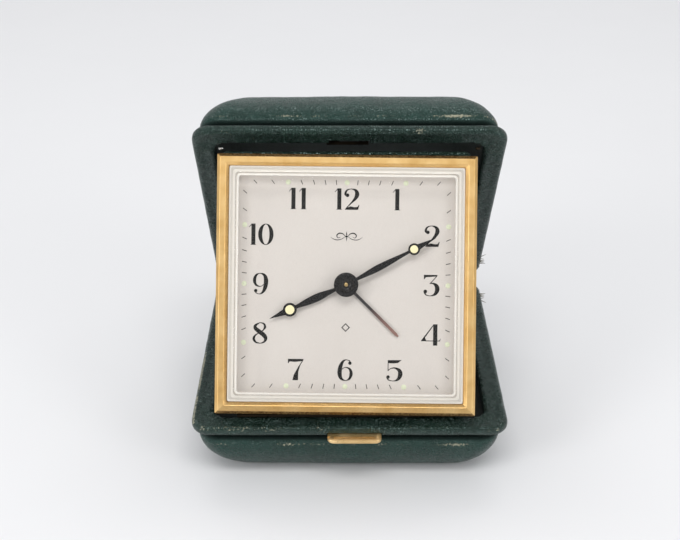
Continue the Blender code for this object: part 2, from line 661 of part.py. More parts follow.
def make_motion_work(clock, paint):
    """The wheels under the dial that turn the hour hand and the alarm hand, and the setting arbors."""
    brass = paint["brass"]
    front = FRONT_PLATE_W + PLATE_THICK
    cannon_low, hour_low, alarm_low = front + 0.1, front + 0.5, front + 0.9
    thick = 0.3
    leaves, teeth, module = CANNON_MESH
    cannon = pinion(CENTRE, leaves, module, cannon_low, cannon_low + thick, MOTION_DIRECTION)
    shaft = disc(CENTRE, 0.45, KEY_BACK + 1.0, front + 0.05, 10)
    head = disc(CENTRE, 0.6, front + 0.02, 5.2, 10)
    piece("minute_arbor", cannon, paint["steel"], clock, (*CENTRE, cannon_low), [shaft, head])
    knob("time_set_knob", CENTRE, 3.4, 0.55, clock, paint)

    mesh = (MOTION, teeth, module, cannon_low, facing(MOTION_DIRECTION, teeth))
    leaves, teeth, module = HOUR_MESH
    leaf_span = (cannon_low + 0.1, hour_low + thick)
    hour_leaves = pinion(MOTION, leaves, module, *leaf_span, MOTION_DIRECTION + 180)
    post = [disc(MOTION, 0.45, cannon_low - 1, hour_low + 1, 8)]
    wheel("motion_wheel", *mesh, brass, clock, [hour_leaves], post, thick)

    mesh = (CENTRE, teeth, module, hour_low, MOTION_DIRECTION + 180 / teeth)
    sleeve = disc(CENTRE, 1.05, hour_low, 3.75, 12)
    bore = [disc(CENTRE, 0.72, hour_low - 1, 5, 12)]
    wheel("hour_wheel", *mesh, brass, clock, [sleeve], bore, thick)

    sleeve = disc(CENTRE, 1.55, alarm_low, 2.95, 12)
    bore = [disc(CENTRE, 1.17, alarm_low - 1, 5, 12)]
    mesh = (CENTRE, ALARM_TEETH, ALARM_MODULE, alarm_low, ALARM_SET_DIRECTION)
    wheel("alarm_wheel", *mesh, brass, clock, [sleeve], bore, thick)
    shaft = disc(ALARM_SET, 0.6, KEY_BACK + 1.0, alarm_low + thick, 10)
    phase = facing(ALARM_SET_DIRECTION, ALARM_TEETH)
    mesh = (ALARM_SET, ALARM_TEETH, ALARM_MODULE, alarm_low, phase)
    wheel("alarm_set_wheel", *mesh, brass, clock, [shaft], thick=thick)
    knob("alarm_set_knob", ALARM_SET, 2.8, 0.7, clock, paint)


def make_alarm(clock, paint):
    low = BACK_PLATE_W + PLATE_THICK + 0.4
    barrel("alarm_barrel", ALARM_BARREL, 9.8, 0, clock, paint, low)
    winding_key("alarm_winding_key", ALARM_BARREL, clock, paint)
    x, v = HAMMER
    arm = block(x - 0.4, x + 0.4, v, v + 12.5, -3.2, -2.4)
    head = block(x - 1.2, x + 1.2, v + 11.5, v + 14.5, -4.2, -1.6)
    shaft = arbor(HAMMER, PIVOT_LOW, PIVOT_HIGH)
    piece("alarm_hammer", arm, paint["steel"], clock, (x, v, -3.2), [head, shaft])
    profile = [(1.6, KEY_BACK + 0.2), (1.6, CAN_BACK - 1.8), (1.0, CAN_BACK - 1.75), (1.0, BACK_PLATE_W + 1.2)]
    piece("alarm_stop_button", turned(STOP_BUTTON, profile, 12), paint["gold"], clock, (*STOP_BUTTON, CAN_BACK))


# The hands. Each outline is drawn pointing to twelve and turned to its place.


def hand(name, shape, angle, low, thick, hub, bore, material, clock):
    """A flat hand: (half width, distance) pairs from tail to tip, fused to a round boss."""
    turn = math.radians(-angle)
    outline = [(half, far) for half, far in shape] + [(-half, far) for half, far in reversed(shape)]
    placed = []
    for x, y in outline:
        across = x * math.cos(turn) - y * math.sin(turn)
        up = x * math.sin(turn) + y * math.cos(turn)
        placed.append((across, FACE_V + up))
    boss = disc(CENTRE, hub, low, low + thick, 16)
    hole = disc(CENTRE, bore, low - 1, low + 1, 12)
    piece(name, prism(placed, low, low + thick), material, clock, (*CENTRE, low), [boss], [hole])


def make_hands(clock, paint):
    black = paint["black"]
    alarm = [(0.4, -0.5), (0.4, ALARM_HAND - 0.6), (0.15, ALARM_HAND)]
    hand("alarm_hand", alarm, ALARM_ANGLE, 2.6, 0.25, 2.6, 1.6, black, clock)
    hour = [(0.5, -0.5), (0.6, 2.5), (1.75, 7.5), (1.3, 12.0), (0.8, 14.0), (1.7, 15.7), (1.0, 17.3)]
    hour.append((0.1, HOUR_HAND))
    hand("hour_hand", hour, HOUR_ANGLE, 3.3, 0.3, 2.6, 1.12, black, clock)
    minute = [(0.5, -0.5), (0.6, 2.5), (1.5, 8.5), (1.1, 15.0), (0.65, 17.8), (1.4, 19.5), (0.9, 21.2)]
    minute.append((0.1, MINUTE_HAND))
    hand("minute_hand", minute, MINUTE_ANGLE, 4.3, 0.3, 2.6, 0.7, black, clock)
    profile = [(3.1, 5.3), (3.1, 5.7), (2.3, 6.0), (1.0, 6.2)]
    piece("hub_cap", turned(CENTRE, profile, 20), black, clock, (*CENTRE, 5.3))


def make_clock(paint):
    clock = frame("clock_axis", (0, 0, 0), (CLOCK_X, FOLD_Y, FOLD_Z), CLOCK_LEAN)
    make_clock_case(clock, paint)
    make_movement_case(clock, paint)
    make_plates(clock, paint)
    make_train(clock, paint)
    make_escapement(clock, paint)
    make_motion_work(clock, paint)
    make_alarm(clock, paint)
    make_hands(clock, paint)


def main():
    clear_scene()
    paint = {
        "leather": principled("leather", (0.035, 0.055, 0.052), 0.42),
        "lining": principled("lining", (0.02, 0.028, 0.026), 0.7),
        "steel": principled("steel", (0.55, 0.56, 0.57), 0.35, 1.0),
        "brass": principled("brass", (0.72, 0.53, 0.25), 0.35, 1.0),
        "gold": principled("gold", (0.83, 0.58, 0.24), 0.28, 1.0),
        "acrylic": principled("acrylic", (0.95, 0.96, 0.96), 0.05, 0.0, 1.0),
        "dial": principled("dial", (0.72, 0.68, 0.61), 0.4),
        "black": principled("black", (0.012, 0.012, 0.013), 0.25),
    }
    make_base(paint)
    make_latch(paint)
    make_lid(paint)
    make_clock(paint)


main()
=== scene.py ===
"""The looks of a folding travel alarm clock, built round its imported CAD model.

Shapes are drawn in millimetres. A case half's frame is (x, y, depth), with depth running away from the plane
where the two rims meet. The clock's frame is (x, v, w): x to the right of the dial, v up its face from the
hinge at its foot, w out of the face. The latch is drawn on the model's own axes. Each frame has a matrix that
takes it to the model's metres.
"""

import json
import math

import bmesh
import bpy
from mathutils import Matrix, Vector, noise
from mathutils.geometry import delaunay_2d_cdt


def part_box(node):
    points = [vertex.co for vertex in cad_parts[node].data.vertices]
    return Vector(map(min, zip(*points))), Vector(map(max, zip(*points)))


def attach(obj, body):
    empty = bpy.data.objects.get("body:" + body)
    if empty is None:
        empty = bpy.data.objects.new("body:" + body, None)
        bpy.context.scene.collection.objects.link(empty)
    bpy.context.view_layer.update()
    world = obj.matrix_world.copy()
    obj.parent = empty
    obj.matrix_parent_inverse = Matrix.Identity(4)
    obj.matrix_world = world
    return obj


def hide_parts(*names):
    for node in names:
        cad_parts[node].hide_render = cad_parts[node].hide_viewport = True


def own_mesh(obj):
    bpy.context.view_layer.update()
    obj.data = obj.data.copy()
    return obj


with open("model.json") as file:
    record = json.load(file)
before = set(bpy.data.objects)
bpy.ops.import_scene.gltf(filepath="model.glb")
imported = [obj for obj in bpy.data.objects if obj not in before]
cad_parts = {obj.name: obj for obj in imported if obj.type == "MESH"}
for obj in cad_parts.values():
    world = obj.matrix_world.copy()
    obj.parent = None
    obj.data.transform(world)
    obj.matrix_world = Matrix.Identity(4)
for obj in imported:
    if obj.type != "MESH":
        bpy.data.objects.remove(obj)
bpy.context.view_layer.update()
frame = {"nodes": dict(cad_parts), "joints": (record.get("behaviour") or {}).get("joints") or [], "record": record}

MM = 0.001
TO_METRES = Matrix.Scale(MM, 4)
JOINTS = {joint["name"]: joint for joint in frame["joints"]}


def box_mm(node):
    """A node's lowest and highest corners in millimetres."""
    return [Vector(corner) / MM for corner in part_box(node)]


def half_width(node):
    low, high = box_mm(node)
    return (high.x - low.x) / 2


# The frames.

HINGE = Vector(JOINTS["lid_hinge"]["pos_m"])
FOLD = Vector(JOINTS["clock_fold"]["pos_m"])
RIGHT = Vector((1, 0, 0))
OUT = -Vector(JOINTS["minute_spin"]["axis"]).normalized()
UP = OUT.cross(RIGHT)
CENTRE_POINT = Vector(JOINTS["minute_spin"]["pos_m"])
FACE_V = (CENTRE_POINT - FOLD).dot(UP) / MM


def from_hinge(node):
    """The way from the case hinge to the mean of a node's points."""
    points = [vertex.co for vertex in frame["nodes"][node].data.vertices]
    return sum(points, Vector()) / len(points) - HINGE


def columns(x, y, z, origin):
    matrix = Matrix((x, y, z)).transposed().to_4x4()
    matrix.translation = origin
    return matrix @ TO_METRES


def lid_turn():
    """The lid stands turned from closed, where it would mirror the base."""
    base, lid = from_hinge("base_cover"), from_hinge("lid_cover")
    return math.atan2(lid.z, lid.y) - math.atan2(-base.z, base.y)


RIM_PLANE = Vector((0, 0, HINGE.z))
BASE = columns(Vector((1, 0, 0)), Vector((0, 1, 0)), Vector((0, 0, -1)), RIM_PLANE)
CLOSED_LID = columns(Vector((1, 0, 0)), Vector((0, 1, 0)), Vector((0, 0, 1)), RIM_PLANE)
TURN = Matrix.Rotation(lid_turn(), 4, "X")
LID = Matrix.Translation(HINGE) @ TURN @ Matrix.Translation(-HINGE) @ CLOSED_LID
CLOCK = columns(RIGHT, UP, OUT, FOLD)

# The case, from the boxes of its base half.
RIM_LOW, RIM_HIGH = box_mm("base_rim")
COVER_LOW, COVER_HIGH = box_mm("base_cover")
HALF_WIDTH = RIM_HIGH.x
HALF_LENGTH = RIM_HIGH.y
HALF_DEPTH = HINGE.z / MM
RIM_GAP = HALF_DEPTH - RIM_HIGH.z
RIM_THICK = HALF_DEPTH - RIM_LOW.z
DOME_START = HALF_DEPTH - COVER_HIGH.z
DOME_INSET = HALF_WIDTH - COVER_HIGH.x
DOME_EDGE = 10.0
CASE_CORNER = 5.0
FRONT_LIP = 5.5
BACK_LIP = 3.3
LIP_CORNER = 4.0
LEATHER = 1.3
LINING_SHRINK = 2.0
LINING_THICK = 0.5
CASE_ARC, CASE_SIDE = 10, 24

# The clock, in its own frame.
BEZEL_HALF = half_width("bezel")
SURROUND_HALF = half_width("clock_surround")
DIAL_HALF = half_width("dial")
CRYSTAL_HALF = half_width("crystal")
DIAL_BACK, DIAL_TOP = 1.5, 2.1
CENTRE = (0.0, FACE_V)
STOP_BUTTON = (-2.0, FACE_V + 23.5)
KEY_BACK, KEY_FRONT = -10.9, -8.45
HAND_THICK = 0.3
HUB_RADIUS = 2.5

# The bezel, the crystal and the dial's print sit slightly turned in their surround.
FACE_TURN = math.radians(-0.65)
MIDDLE = Matrix.Translation((*CENTRE, 0.0))
FACE = CLOCK @ MIDDLE @ Matrix.Rotation(FACE_TURN, 4, "Z") @ MIDDLE.inverted()


def in_clock(joint):
    """Where a joint of the movement stands in the clock's frame: (x, v)."""
    offset = Vector(JOINTS[joint]["pos_m"]) - FOLD
    return (offset.dot(RIGHT) / MM, offset.dot(UP) / MM)


# Points and rings.


def polar(origin, distance, degrees):
    angle = math.radians(degrees)
    return (origin[0] + distance * math.cos(angle), origin[1] + distance * math.sin(angle))


def between(a, b, share):
    return tuple(p + (q - p) * share for p, q in zip(a, b))


def box_ring(x0, x1, y0, y1, corner, height, arc, side):
    """Points round a rectangle with round corners, with even steps along its straight sides."""
    centres = [(x1 - corner, y1 - corner), (x0 + corner, y1 - corner)]
    centres += [(x0 + corner, y0 + corner), (x1 - corner, y0 + corner)]
    ring = []
    for quarter, centre in enumerate(centres):
        start = 90 * quarter
        ring += [polar(centre, corner, start + 90 * i / arc) for i in range(arc + 1)]
        target = polar(centres[(quarter + 1) % 4], corner, start + 90)
        ring += [between(ring[-1], target, i / side) for i in range(1, side)]
    return [(x, y, height) for x, y in ring]


def face_ring(half, height, corner, arc, side):
    """A square ring round the middle of the clock's face."""
    return box_ring(-half, half, FACE_V - half, FACE_V + half, corner, height, arc, side)


def circle(centre, radius, height, sides=48):
    return [(*polar(centre, radius, 360 * i / sides), height) for i in range(sides)]


def smooth_path(points, steps=8):
    """A Catmull-Rom curve through points of any dimension."""
    last = len(points) - 1
    path = []
    for i in range(last):
        around = [points[min(max(i + k, 0), last)] for k in (-1, 0, 1, 2)]
        for step in range(steps):
            t = step / steps
            weights = (-t + 2 * t**2 - t**3, 2 - 5 * t**2 + 3 * t**3, t + 4 * t**2 - 3 * t**3, t**3 - t**2)
            parts = zip(*([w * value for value in point] for w, point in zip(weights, around)))
            path.append(tuple(sum(part) / 2 for part in parts))
    path.append(tuple(points[-1]))
    return path


# Closed meshes, as pairs of points and faces.


def loft(rings, closed=False):
    """Joins rings of equal length. An open stack is capped; a closed one comes back to its first ring."""
    count = len(rings[0])
    faces = []
    for low in range(len(rings) if closed else len(rings) - 1):
        a, b = low * count, (low + 1) % len(rings) * count
        faces += [(a + j, a + (j + 1) % count, b + (j + 1) % count, b + j) for j in range(count)]
    if not closed:
        last = (len(rings) - 1) * count
        faces.append(tuple(reversed(range(count))))
        faces.append(tuple(range(last, last + count)))
    return [point for ring in rings for point in ring], faces


def turned(centre, profile, sides=48):
    """A solid of revolution from (radius, height) pairs, low to high."""
    return loft([circle(centre, radius, height, sides) for radius, height in profile])


def rod(x0, x1, y, z, radius, sides):
    """A round bar along X with chamfered ends."""
    chamfer = 0.15
    ends = ((x0, radius - chamfer), (x0 + chamfer, radius), (x1 - chamfer, radius), (x1, radius - chamfer))
    return loft([[(x, *polar((y, z), r, 360 * i / sides)) for i in range(sides)] for x, r in ends])


def joined(*meshes):
    """Several closed meshes as one piece."""
    points, faces = [], []
    for more_points, more_faces in meshes:
        start = len(points)
        points += more_points
        faces += [tuple(start + i for i in face) for face in more_faces]
    return points, faces


def counterclockwise(polygon):
    area = sum(a[0] * b[1] - b[0] * a[1] for a, b in zip(polygon, polygon[1:] + polygon[:1]))
    return polygon if area > 0 else polygon[::-1]


def plate(polygons, low, high, holes=()):
    """A flat plate: the union of polygons, less the holes, between two heights."""
    points, outlines = [], []
    for polygon in list(polygons) + list(holes):
        start = len(points)
        points += [Vector(point[:2]) for point in counterclockwise(list(polygon))]
        outlines.append(list(range(start, len(points))))
    flat, _, triangles, _, _, sources = delaunay_2d_cdt(points, [], outlines, 1, 1e-5, True)
    solid = len(polygons)
    kept = [face for face, owners in zip(triangles, sources) if owners and max(owners) < solid]
    used = sorted({i for face in kept for i in face})
    place = {old: new for new, old in enumerate(used)}
    count = len(used)
    corners = [(flat[i].x, flat[i].y) for i in used]
    faces = [tuple(place[i] + count for i in face) for face in kept]
    faces += [tuple(place[i] for i in reversed(face)) for face in kept]
    edges = {(face[i], face[(i + 1) % len(face)]) for face in kept for i in range(len(face))}
    for a, b in sorted(edges):
        if (b, a) not in edges:
            faces.append((place[a], place[b], place[b] + count, place[a] + count))
    return [(x, y, height) for height in (low, high) for x, y in corners], faces


def stroke(points, steps=8):
    """Quads along a smooth line of (x, y, width) points."""
    path = smooth_path(points, steps)
    sides = []
    for i, (x, y, width) in enumerate(path):
        ahead, behind = path[min(i + 1, len(path) - 1)], path[max(i - 1, 0)]
        dx, dy = ahead[0] - behind[0], ahead[1] - behind[1]
        length = math.hypot(dx, dy) or 1.0
        nx, ny = -dy / length * width / 2, dx / length * width / 2
        sides.append(((x + nx, y + ny), (x - nx, y - ny)))
    return [[a[0], b[0], b[1], a[1]] for a, b in zip(sides, sides[1:])]


def dot(x, y, radius, sides=20):
    return [point[:2] for point in circle((x, y), radius, 0, sides)]


def rectangle(x0, x1, y0, y1):
    return [(x0, y0), (x1, y0), (x1, y1), (x0, y1)]


# Pieces.


def ripple(x, y, z, size, seed):
    """Smooth noise in -1 to 1 with features of a size in millimetres."""
    return noise.noise(Vector((x, y, z)) / size + Vector((seed, 0, 0)))


def add_object(name, mesh, place, waves=()):
    """An object from a closed mesh in one of the frames, with its faces turned outwards.

    waves are (amount, size) pairs that push the surface in and out."""
    points, faces = mesh
    data = bpy.data.meshes.new(name)
    data.from_pydata([place @ Vector(point) for point in points], [], faces)
    shape = bmesh.new()
    shape.from_mesh(data)
    bmesh.ops.recalc_face_normals(shape, faces=shape.faces)
    shape.normal_update()
    if waves:
        normals = [vertex.normal.copy() for vertex in shape.verts]
        for vertex, normal, point in zip(shape.verts, normals, points):
            push = sum(amount * ripple(*point, size, 7 * k) for k, (amount, size) in enumerate(waves))
            vertex.co += normal * push * MM
            vertex.co.z = max(vertex.co.z, 0.0)
    shape.to_mesh(data)
    shape.free()
    obj = bpy.data.objects.new(name, data)
    bpy.context.scene.collection.objects.link(obj)
    return obj


def add_piece(
    name, mesh, place, paint, body, replaces=(), sharp=35, waves=(), wear_and_painted_light=None, cut=(), fuse=()
):
    """A closed mesh as a piece that rides on a body. A per-point function gives each point's share of wear, and of
    painted light: painted shade below 0 on leather, painted dark reflections on the bezel and a painted highlight
    on the crystal.
    """
    obj = add_object(name, mesh, place, waves)
    if wear_and_painted_light:
        layer = obj.data.attributes.new("wear_and_painted_light", "FLOAT", "POINT")
        layer.data.foreach_set("value", [wear_and_painted_light(*point) for point in mesh[0]])
    for operation, tools in (("UNION", fuse), ("DIFFERENCE", cut)):
        for tool in tools:
            combine(obj, tool, place, operation)
    obj.data.shade_smooth()
    obj.data.set_sharp_from_angle(angle=math.radians(sharp))
    obj.data.materials.clear()
    obj.data.materials.append(paint)
    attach(obj, body)
    if replaces:
        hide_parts(*replaces)
    return obj


def combine(obj, tool, place, operation):
    """Applies a Boolean with a closed mesh of the same frame."""
    helper = add_object("tool", tool, place)
    modifier = obj.modifiers.new("shape", "BOOLEAN")
    modifier.operation = operation
    modifier.object = helper
    evaluated = obj.evaluated_get(bpy.context.evaluated_depsgraph_get())
    result = bpy.data.meshes.new_from_object(evaluated)
    obj.modifiers.clear()
    old, spent = obj.data, helper.data
    obj.data = result
    bpy.data.meshes.remove(old)
    bpy.data.objects.remove(helper)
    bpy.data.meshes.remove(spent)


# Materials.


class Paint:
    """A Principled material, with short ways to add nodes to it. Textures are laid out in millimetres."""

    def __init__(self, name, values):
        self.material = bpy.data.materials.new(name)
        self.material.use_nodes = True
        self.tree = self.material.node_tree
        self.shader = self.tree.nodes["Principled BSDF"]
        for socket, value in values.items():
            self.shader.inputs[socket].default_value = value
        coordinates = self.add("ShaderNodeTexCoord")
        self.place = self.stretch(coordinates.outputs["Object"], (1000, 1000, 1000))

    def add(self, kind, inputs=(), **settings):
        """A node with its settings, and with pairs of inputs and what feeds them."""
        node = self.tree.nodes.new(kind)
        for key, value in settings.items():
            setattr(node, key, value)
        for socket, value in dict(inputs).items():
            self.feed(node.inputs[socket], value)
        return node

    def feed(self, socket, value):
        """Links an output to an input, or sets the input to a plain value."""
        if isinstance(value, bpy.types.NodeSocket):
            self.tree.links.new(value, socket)
        else:
            socket.default_value = value

    def stretch(self, vector, scale):
        return self.add("ShaderNodeMapping", {"Vector": vector, "Scale": scale}).outputs["Vector"]

    def noise(self, size, detail=2.0, rough=0.5, where=None, distortion=0.0):
        """Noise with features of a size in millimetres."""
        inputs = {"Vector": where or self.place, "Scale": 1 / size, "Detail": detail}
        inputs.update({"Roughness": rough, "Distortion": distortion})
        return self.add("ShaderNodeTexNoise", inputs).outputs["Fac"]

    def cells(self, size, where):
        """The distance to the nearest edge between cells of a size in millimetres."""
        inputs = {"Vector": where, "Scale": 1 / size}
        return self.add("ShaderNodeTexVoronoi", inputs, feature="DISTANCE_TO_EDGE").outputs["Distance"]

    def remap(self, value, low, high, to_low=0.0, to_high=1.0):
        inputs = {"Value": value, "From Min": low, "From Max": high, "To Min": to_low, "To Max": to_high}
        return self.add("ShaderNodeMapRange", inputs).outputs["Result"]

    def math(self, operation, a, b):
        return self.add("ShaderNodeMath", {0: a, 1: b}, operation=operation).outputs[0]

    def times(self, a, b):
        return self.math("MULTIPLY", a, b)

    def plus(self, a, b):
        return self.math("ADD", a, b)

    def blend(self, share, a, b):
        """A mix of two colours."""
        a, b = (c if isinstance(c, bpy.types.NodeSocket) else (*c, 1.0) for c in (a, b))
        return self.add("ShaderNodeMix", {0: share, 6: a, 7: b}, data_type="RGBA").outputs[2]

    def attribute(self, name):
        return self.add("ShaderNodeAttribute", attribute_name=name).outputs["Fac"]

    def bump(self, height, distance, strength, under=None):
        """Bump of a height in millimetres, over another bump if given."""
        inputs = {"Height": height, "Distance": distance * MM, "Strength": strength}
        if under:
            inputs["Normal"] = under
        return self.add("ShaderNodeBump", inputs).outputs["Normal"]

    def finish(self, colour, roughness, normal=None):
        for socket, value in (("Base Color", colour), ("Roughness", roughness), ("Normal", normal)):
            if value is not None:
                self.feed(self.shader.inputs[socket], value)
        return self.material

    def finish_grained(self, colour, grain, smooth, rough, depth, strength=0.4):
        """Finishes with a roughness and a bump that both follow one grain."""
        roughness = self.remap(grain, 0.3, 0.7, smooth, rough)
        return self.finish(colour, roughness, self.bump(grain, depth, strength))


def leather_paint(name, dark, light, roughness, grain=0.55, relief=1.0, gloss=0.65):
    """Fine-grained leather. Wear, from the mesh's own attribute, bares its tan flesh in flecks; along the base
    rim's front the flecks are partly painted highlights.

    Values below 0 are painted shade: dark and dull, along the seams."""
    paint = Paint(name, {"Specular Tint": (0.75, 1.0, 0.95, 1.0)})
    warp = paint.noise(2.6, 2)
    shift = {0: paint.place, 1: paint.stretch(warp, (1.4, 1.4, 1.4))}
    shifted = paint.add("ShaderNodeVectorMath", shift, operation="ADD").outputs[0]
    cells = paint.remap(paint.cells(grain, shifted), 0.0, 0.22)
    wrinkles = paint.noise(3.2, 2, 0.5, distortion=0.6)
    mottle = paint.noise(11.0, 3, 0.55)
    fibres = paint.noise(0.5, 3, 0.7)
    tone = paint.times(paint.remap(mottle, 0.3, 0.7), 0.65)
    tone = paint.plus(tone, paint.times(paint.remap(wrinkles, 0.35, 0.65), 0.35))
    colour = paint.blend(tone, dark, light)
    creases = paint.remap(cells, 0.0, 1.0, 0.45, 0.0)
    colour = paint.blend(creases, colour, tuple(0.35 * c for c in dark))
    # Painted shade: values below 0 darken and dull the leather in the groove at the seam.
    painted_shade = paint.remap(paint.attribute("wear_and_painted_light"), -1.0, 0.0, 0.9, 0.0)
    colour = paint.blend(painted_shade, colour, (0.002, 0.003, 0.003))
    # The pale flecks are worn flesh, and on the base rim's front partly painted highlights on its wrinkles.
    flecks = paint.plus(paint.attribute("wear_and_painted_light"), paint.remap(fibres, 0.0, 1.0, -0.75, 0.35))
    bare_and_highlight = paint.remap(flecks, 0.12, 0.24)
    flesh_and_highlight = paint.blend(paint.noise(1.2, 2), (0.2, 0.19, 0.13), (0.48, 0.45, 0.33))
    colour = paint.blend(bare_and_highlight, colour, flesh_and_highlight)
    sheen = paint.plus(wrinkles, paint.times(cells, -0.25))
    rough = paint.remap(sheen, 0.1, 0.8, roughness - 0.09, roughness + 0.14)
    rough = paint.plus(rough, paint.times(painted_shade, 0.4))
    normal = paint.bump(wrinkles, 0.16 * relief, 0.8)
    normal = paint.bump(cells, 0.11 * relief, 0.9, normal)
    normal = paint.bump(fibres, 0.006, 0.5, normal)
    gloss = paint.remap(paint.math("MAXIMUM", painted_shade, creases), 0.0, 1.0, gloss, 0.0)
    paint.feed(paint.shader.inputs["Specular IOR Level"], gloss)
    return paint.finish(colour, paint.plus(rough, paint.times(bare_and_highlight, 0.25)), normal)


def lining_paint():
    """Thin matt cloth-backed lining, with a fine crossed weave."""
    paint = Paint("lining", {"Sheen Weight": 0.25, "Sheen Roughness": 0.5, "Specular IOR Level": 0.3})
    ways = ((1, 0.15, 1), (0.15, 1, 1))
    threads = [paint.noise(0.3, 1, where=paint.stretch(paint.place, way)) for way in ways]
    weave = paint.plus(*(paint.times(thread, 0.5) for thread in threads))
    colour = paint.blend(paint.noise(6.0, 4), (0.016, 0.022, 0.02), (0.034, 0.045, 0.041))
    return paint.finish_grained(colour, weave, 0.6, 0.85, 0.06, 0.6)


def metal_paint(name, dark, light, roughness, brush=(1, 1, 1), tarnish_and_dark_reflection=None, scratch=0.012, spotted=1.0):
    """Metal with fine brush lines, uneven polish and, if given, a tarnish in blotches; where the mesh's attribute
    asks, the same dark colour is a painted dark reflection.
    """
    paint = Paint(name, {"Metallic": 1.0})
    lines = paint.noise(0.16, 2, 0.6, where=paint.stretch(paint.place, brush))
    clouds = paint.noise(5.0, 3, 0.6)
    colour = paint.blend(paint.remap(clouds, 0.3, 0.7), dark, light)
    if tarnish_and_dark_reflection:
        spots_and_reflection = paint.remap(paint.noise(1.1, 4, 0.65), 0.6, 0.78)
        patchy = paint.remap(paint.noise(0.5, 4, 0.7), 0.35, 0.6, 0.6, 1.0)
        # Painted dark reflection: the mesh's attribute lays the dark colour where the bezel mirrors dark leather
        # or lies in shade.
        painted_dark_reflection = paint.times(paint.attribute("wear_and_painted_light"), patchy)
        spots_and_reflection = paint.math("MAXIMUM", paint.times(spots_and_reflection, 0.6 * spotted), painted_dark_reflection)
        colour = paint.blend(spots_and_reflection, colour, tarnish_and_dark_reflection)
    polish = paint.plus(paint.times(lines, 0.5), paint.times(clouds, 0.5))
    rough = paint.remap(polish, 0.3, 0.7, roughness * 0.8, roughness * 1.3)
    return paint.finish(colour, rough, paint.bump(lines, scratch, 0.4))


def dial_paint():
    """Silvery cream lacquer with a fine vertical grain and broad clouds of tone."""
    paint = Paint("dial_face", {"Metallic": 0.1, "Coat Weight": 0.1, "Coat Roughness": 0.35})
    grain = paint.noise(0.22, 3, 0.7, where=paint.stretch(paint.place, (1.0, 0.35, 0.35)))
    clouds = paint.noise(14.0, 2)
    share = paint.plus(paint.times(paint.remap(grain, 0.3, 0.7), 0.4), paint.times(clouds, 0.6))
    colour = paint.blend(share, (0.63, 0.585, 0.54), (0.72, 0.675, 0.63))
    return paint.finish_grained(colour, grain, 0.36, 0.52, 0.006, 0.5)


def enamel_paint(name, dark, light):
    """Glossy paint on thin metal."""
    paint = Paint(name, {"Specular IOR Level": 0.3})
    specks = paint.noise(0.35, 4, 0.65)
    colour = paint.blend(paint.remap(specks, 0.35, 0.75), dark, light)
    return paint.finish_grained(colour, specks, 0.22, 0.36, 0.008)


def alarm_hand_paint():
    """Black paint rubbed to reddish brown towards the tip, which is where the mesh says it is worn."""
    paint = Paint("alarm_hand_enamel", {"Coat Weight": 0.2, "Coat Roughness": 0.2})
    specks = paint.noise(0.4, 4, 0.65)
    uneven = paint.plus(paint.attribute("wear_and_painted_light"), paint.remap(specks, 0.0, 1.0, -0.3, 0.3))
    rubbed = paint.remap(uneven, 0.15, 0.85)
    black = paint.blend(specks, (0.012, 0.01, 0.011), (0.03, 0.026, 0.028))
    brown = paint.blend(specks, (0.16, 0.075, 0.06), (0.3, 0.17, 0.14))
    return paint.finish_grained(paint.blend(rubbed, black, brown), specks, 0.28, 0.45, 0.01)


def ink_paint():
    paint = Paint("printed_black", {"Specular IOR Level": 0.2})
    specks = paint.noise(0.25, 3, 0.6)
    colour = paint.blend(specks, (0.004, 0.004, 0.004), (0.012, 0.012, 0.012))
    return paint.finish_grained(colour, specks, 0.4, 0.6, 0.004)


def lume_paint(name, dark, light):
    """Luminous paint: a chalky, slightly granular lacquer."""
    paint = Paint(name, {})
    grains = paint.noise(0.14, 3, 0.7)
    colour = paint.blend(paint.remap(grains, 0.35, 0.65), dark, light)
    return paint.finish_grained(colour, grains, 0.6, 0.8, 0.03, 0.6)


def acrylic_paint():
    """Clear moulded plastic with hairline scratches, with a painted whitish highlight at its edges seen edge-on,
    on its flange and along the block's top edge.
    """
    paint = Paint("acrylic", {"IOR": 1.49, "Specular IOR Level": 0.45})
    hairs = paint.noise(0.5, 3, 0.6, where=paint.stretch(paint.place, (0.15, 1.0, 1.0)))
    colour = paint.blend(hairs, (0.95, 0.91, 0.82), (1.0, 0.97, 0.9))
    # Painted highlight: the whitish colour shows more where the plastic is seen edge-on.
    edge = paint.add("ShaderNodeLayerWeight").outputs["Facing"]
    # Painted highlight from the mesh's attribute, on the flange and the block's top edge.
    highlight_share = paint.times(paint.attribute("wear_and_painted_light"), 1.05)
    film = paint.math("MAXIMUM", paint.remap(paint.math("POWER", edge, 2.5), 0.0, 1.0, 0.008, 0.75), highlight_share)
    paint.feed(paint.shader.inputs["Alpha"], film)
    rough = paint.remap(hairs, 0.4, 0.75, 0.03, 0.09)
    return paint.finish(colour, rough, paint.bump(paint.noise(9.0, 1), 0.01, 0.3))


def floor_paint():
    paint = Paint("floor", {"Specular IOR Level": 0.2})
    colour = paint.blend(paint.noise(60.0, 2), (0.82, 0.82, 0.83), (0.84, 0.84, 0.85))
    return paint.finish(colour, paint.remap(paint.noise(20.0, 2), 0.3, 0.7, 0.55, 0.65))


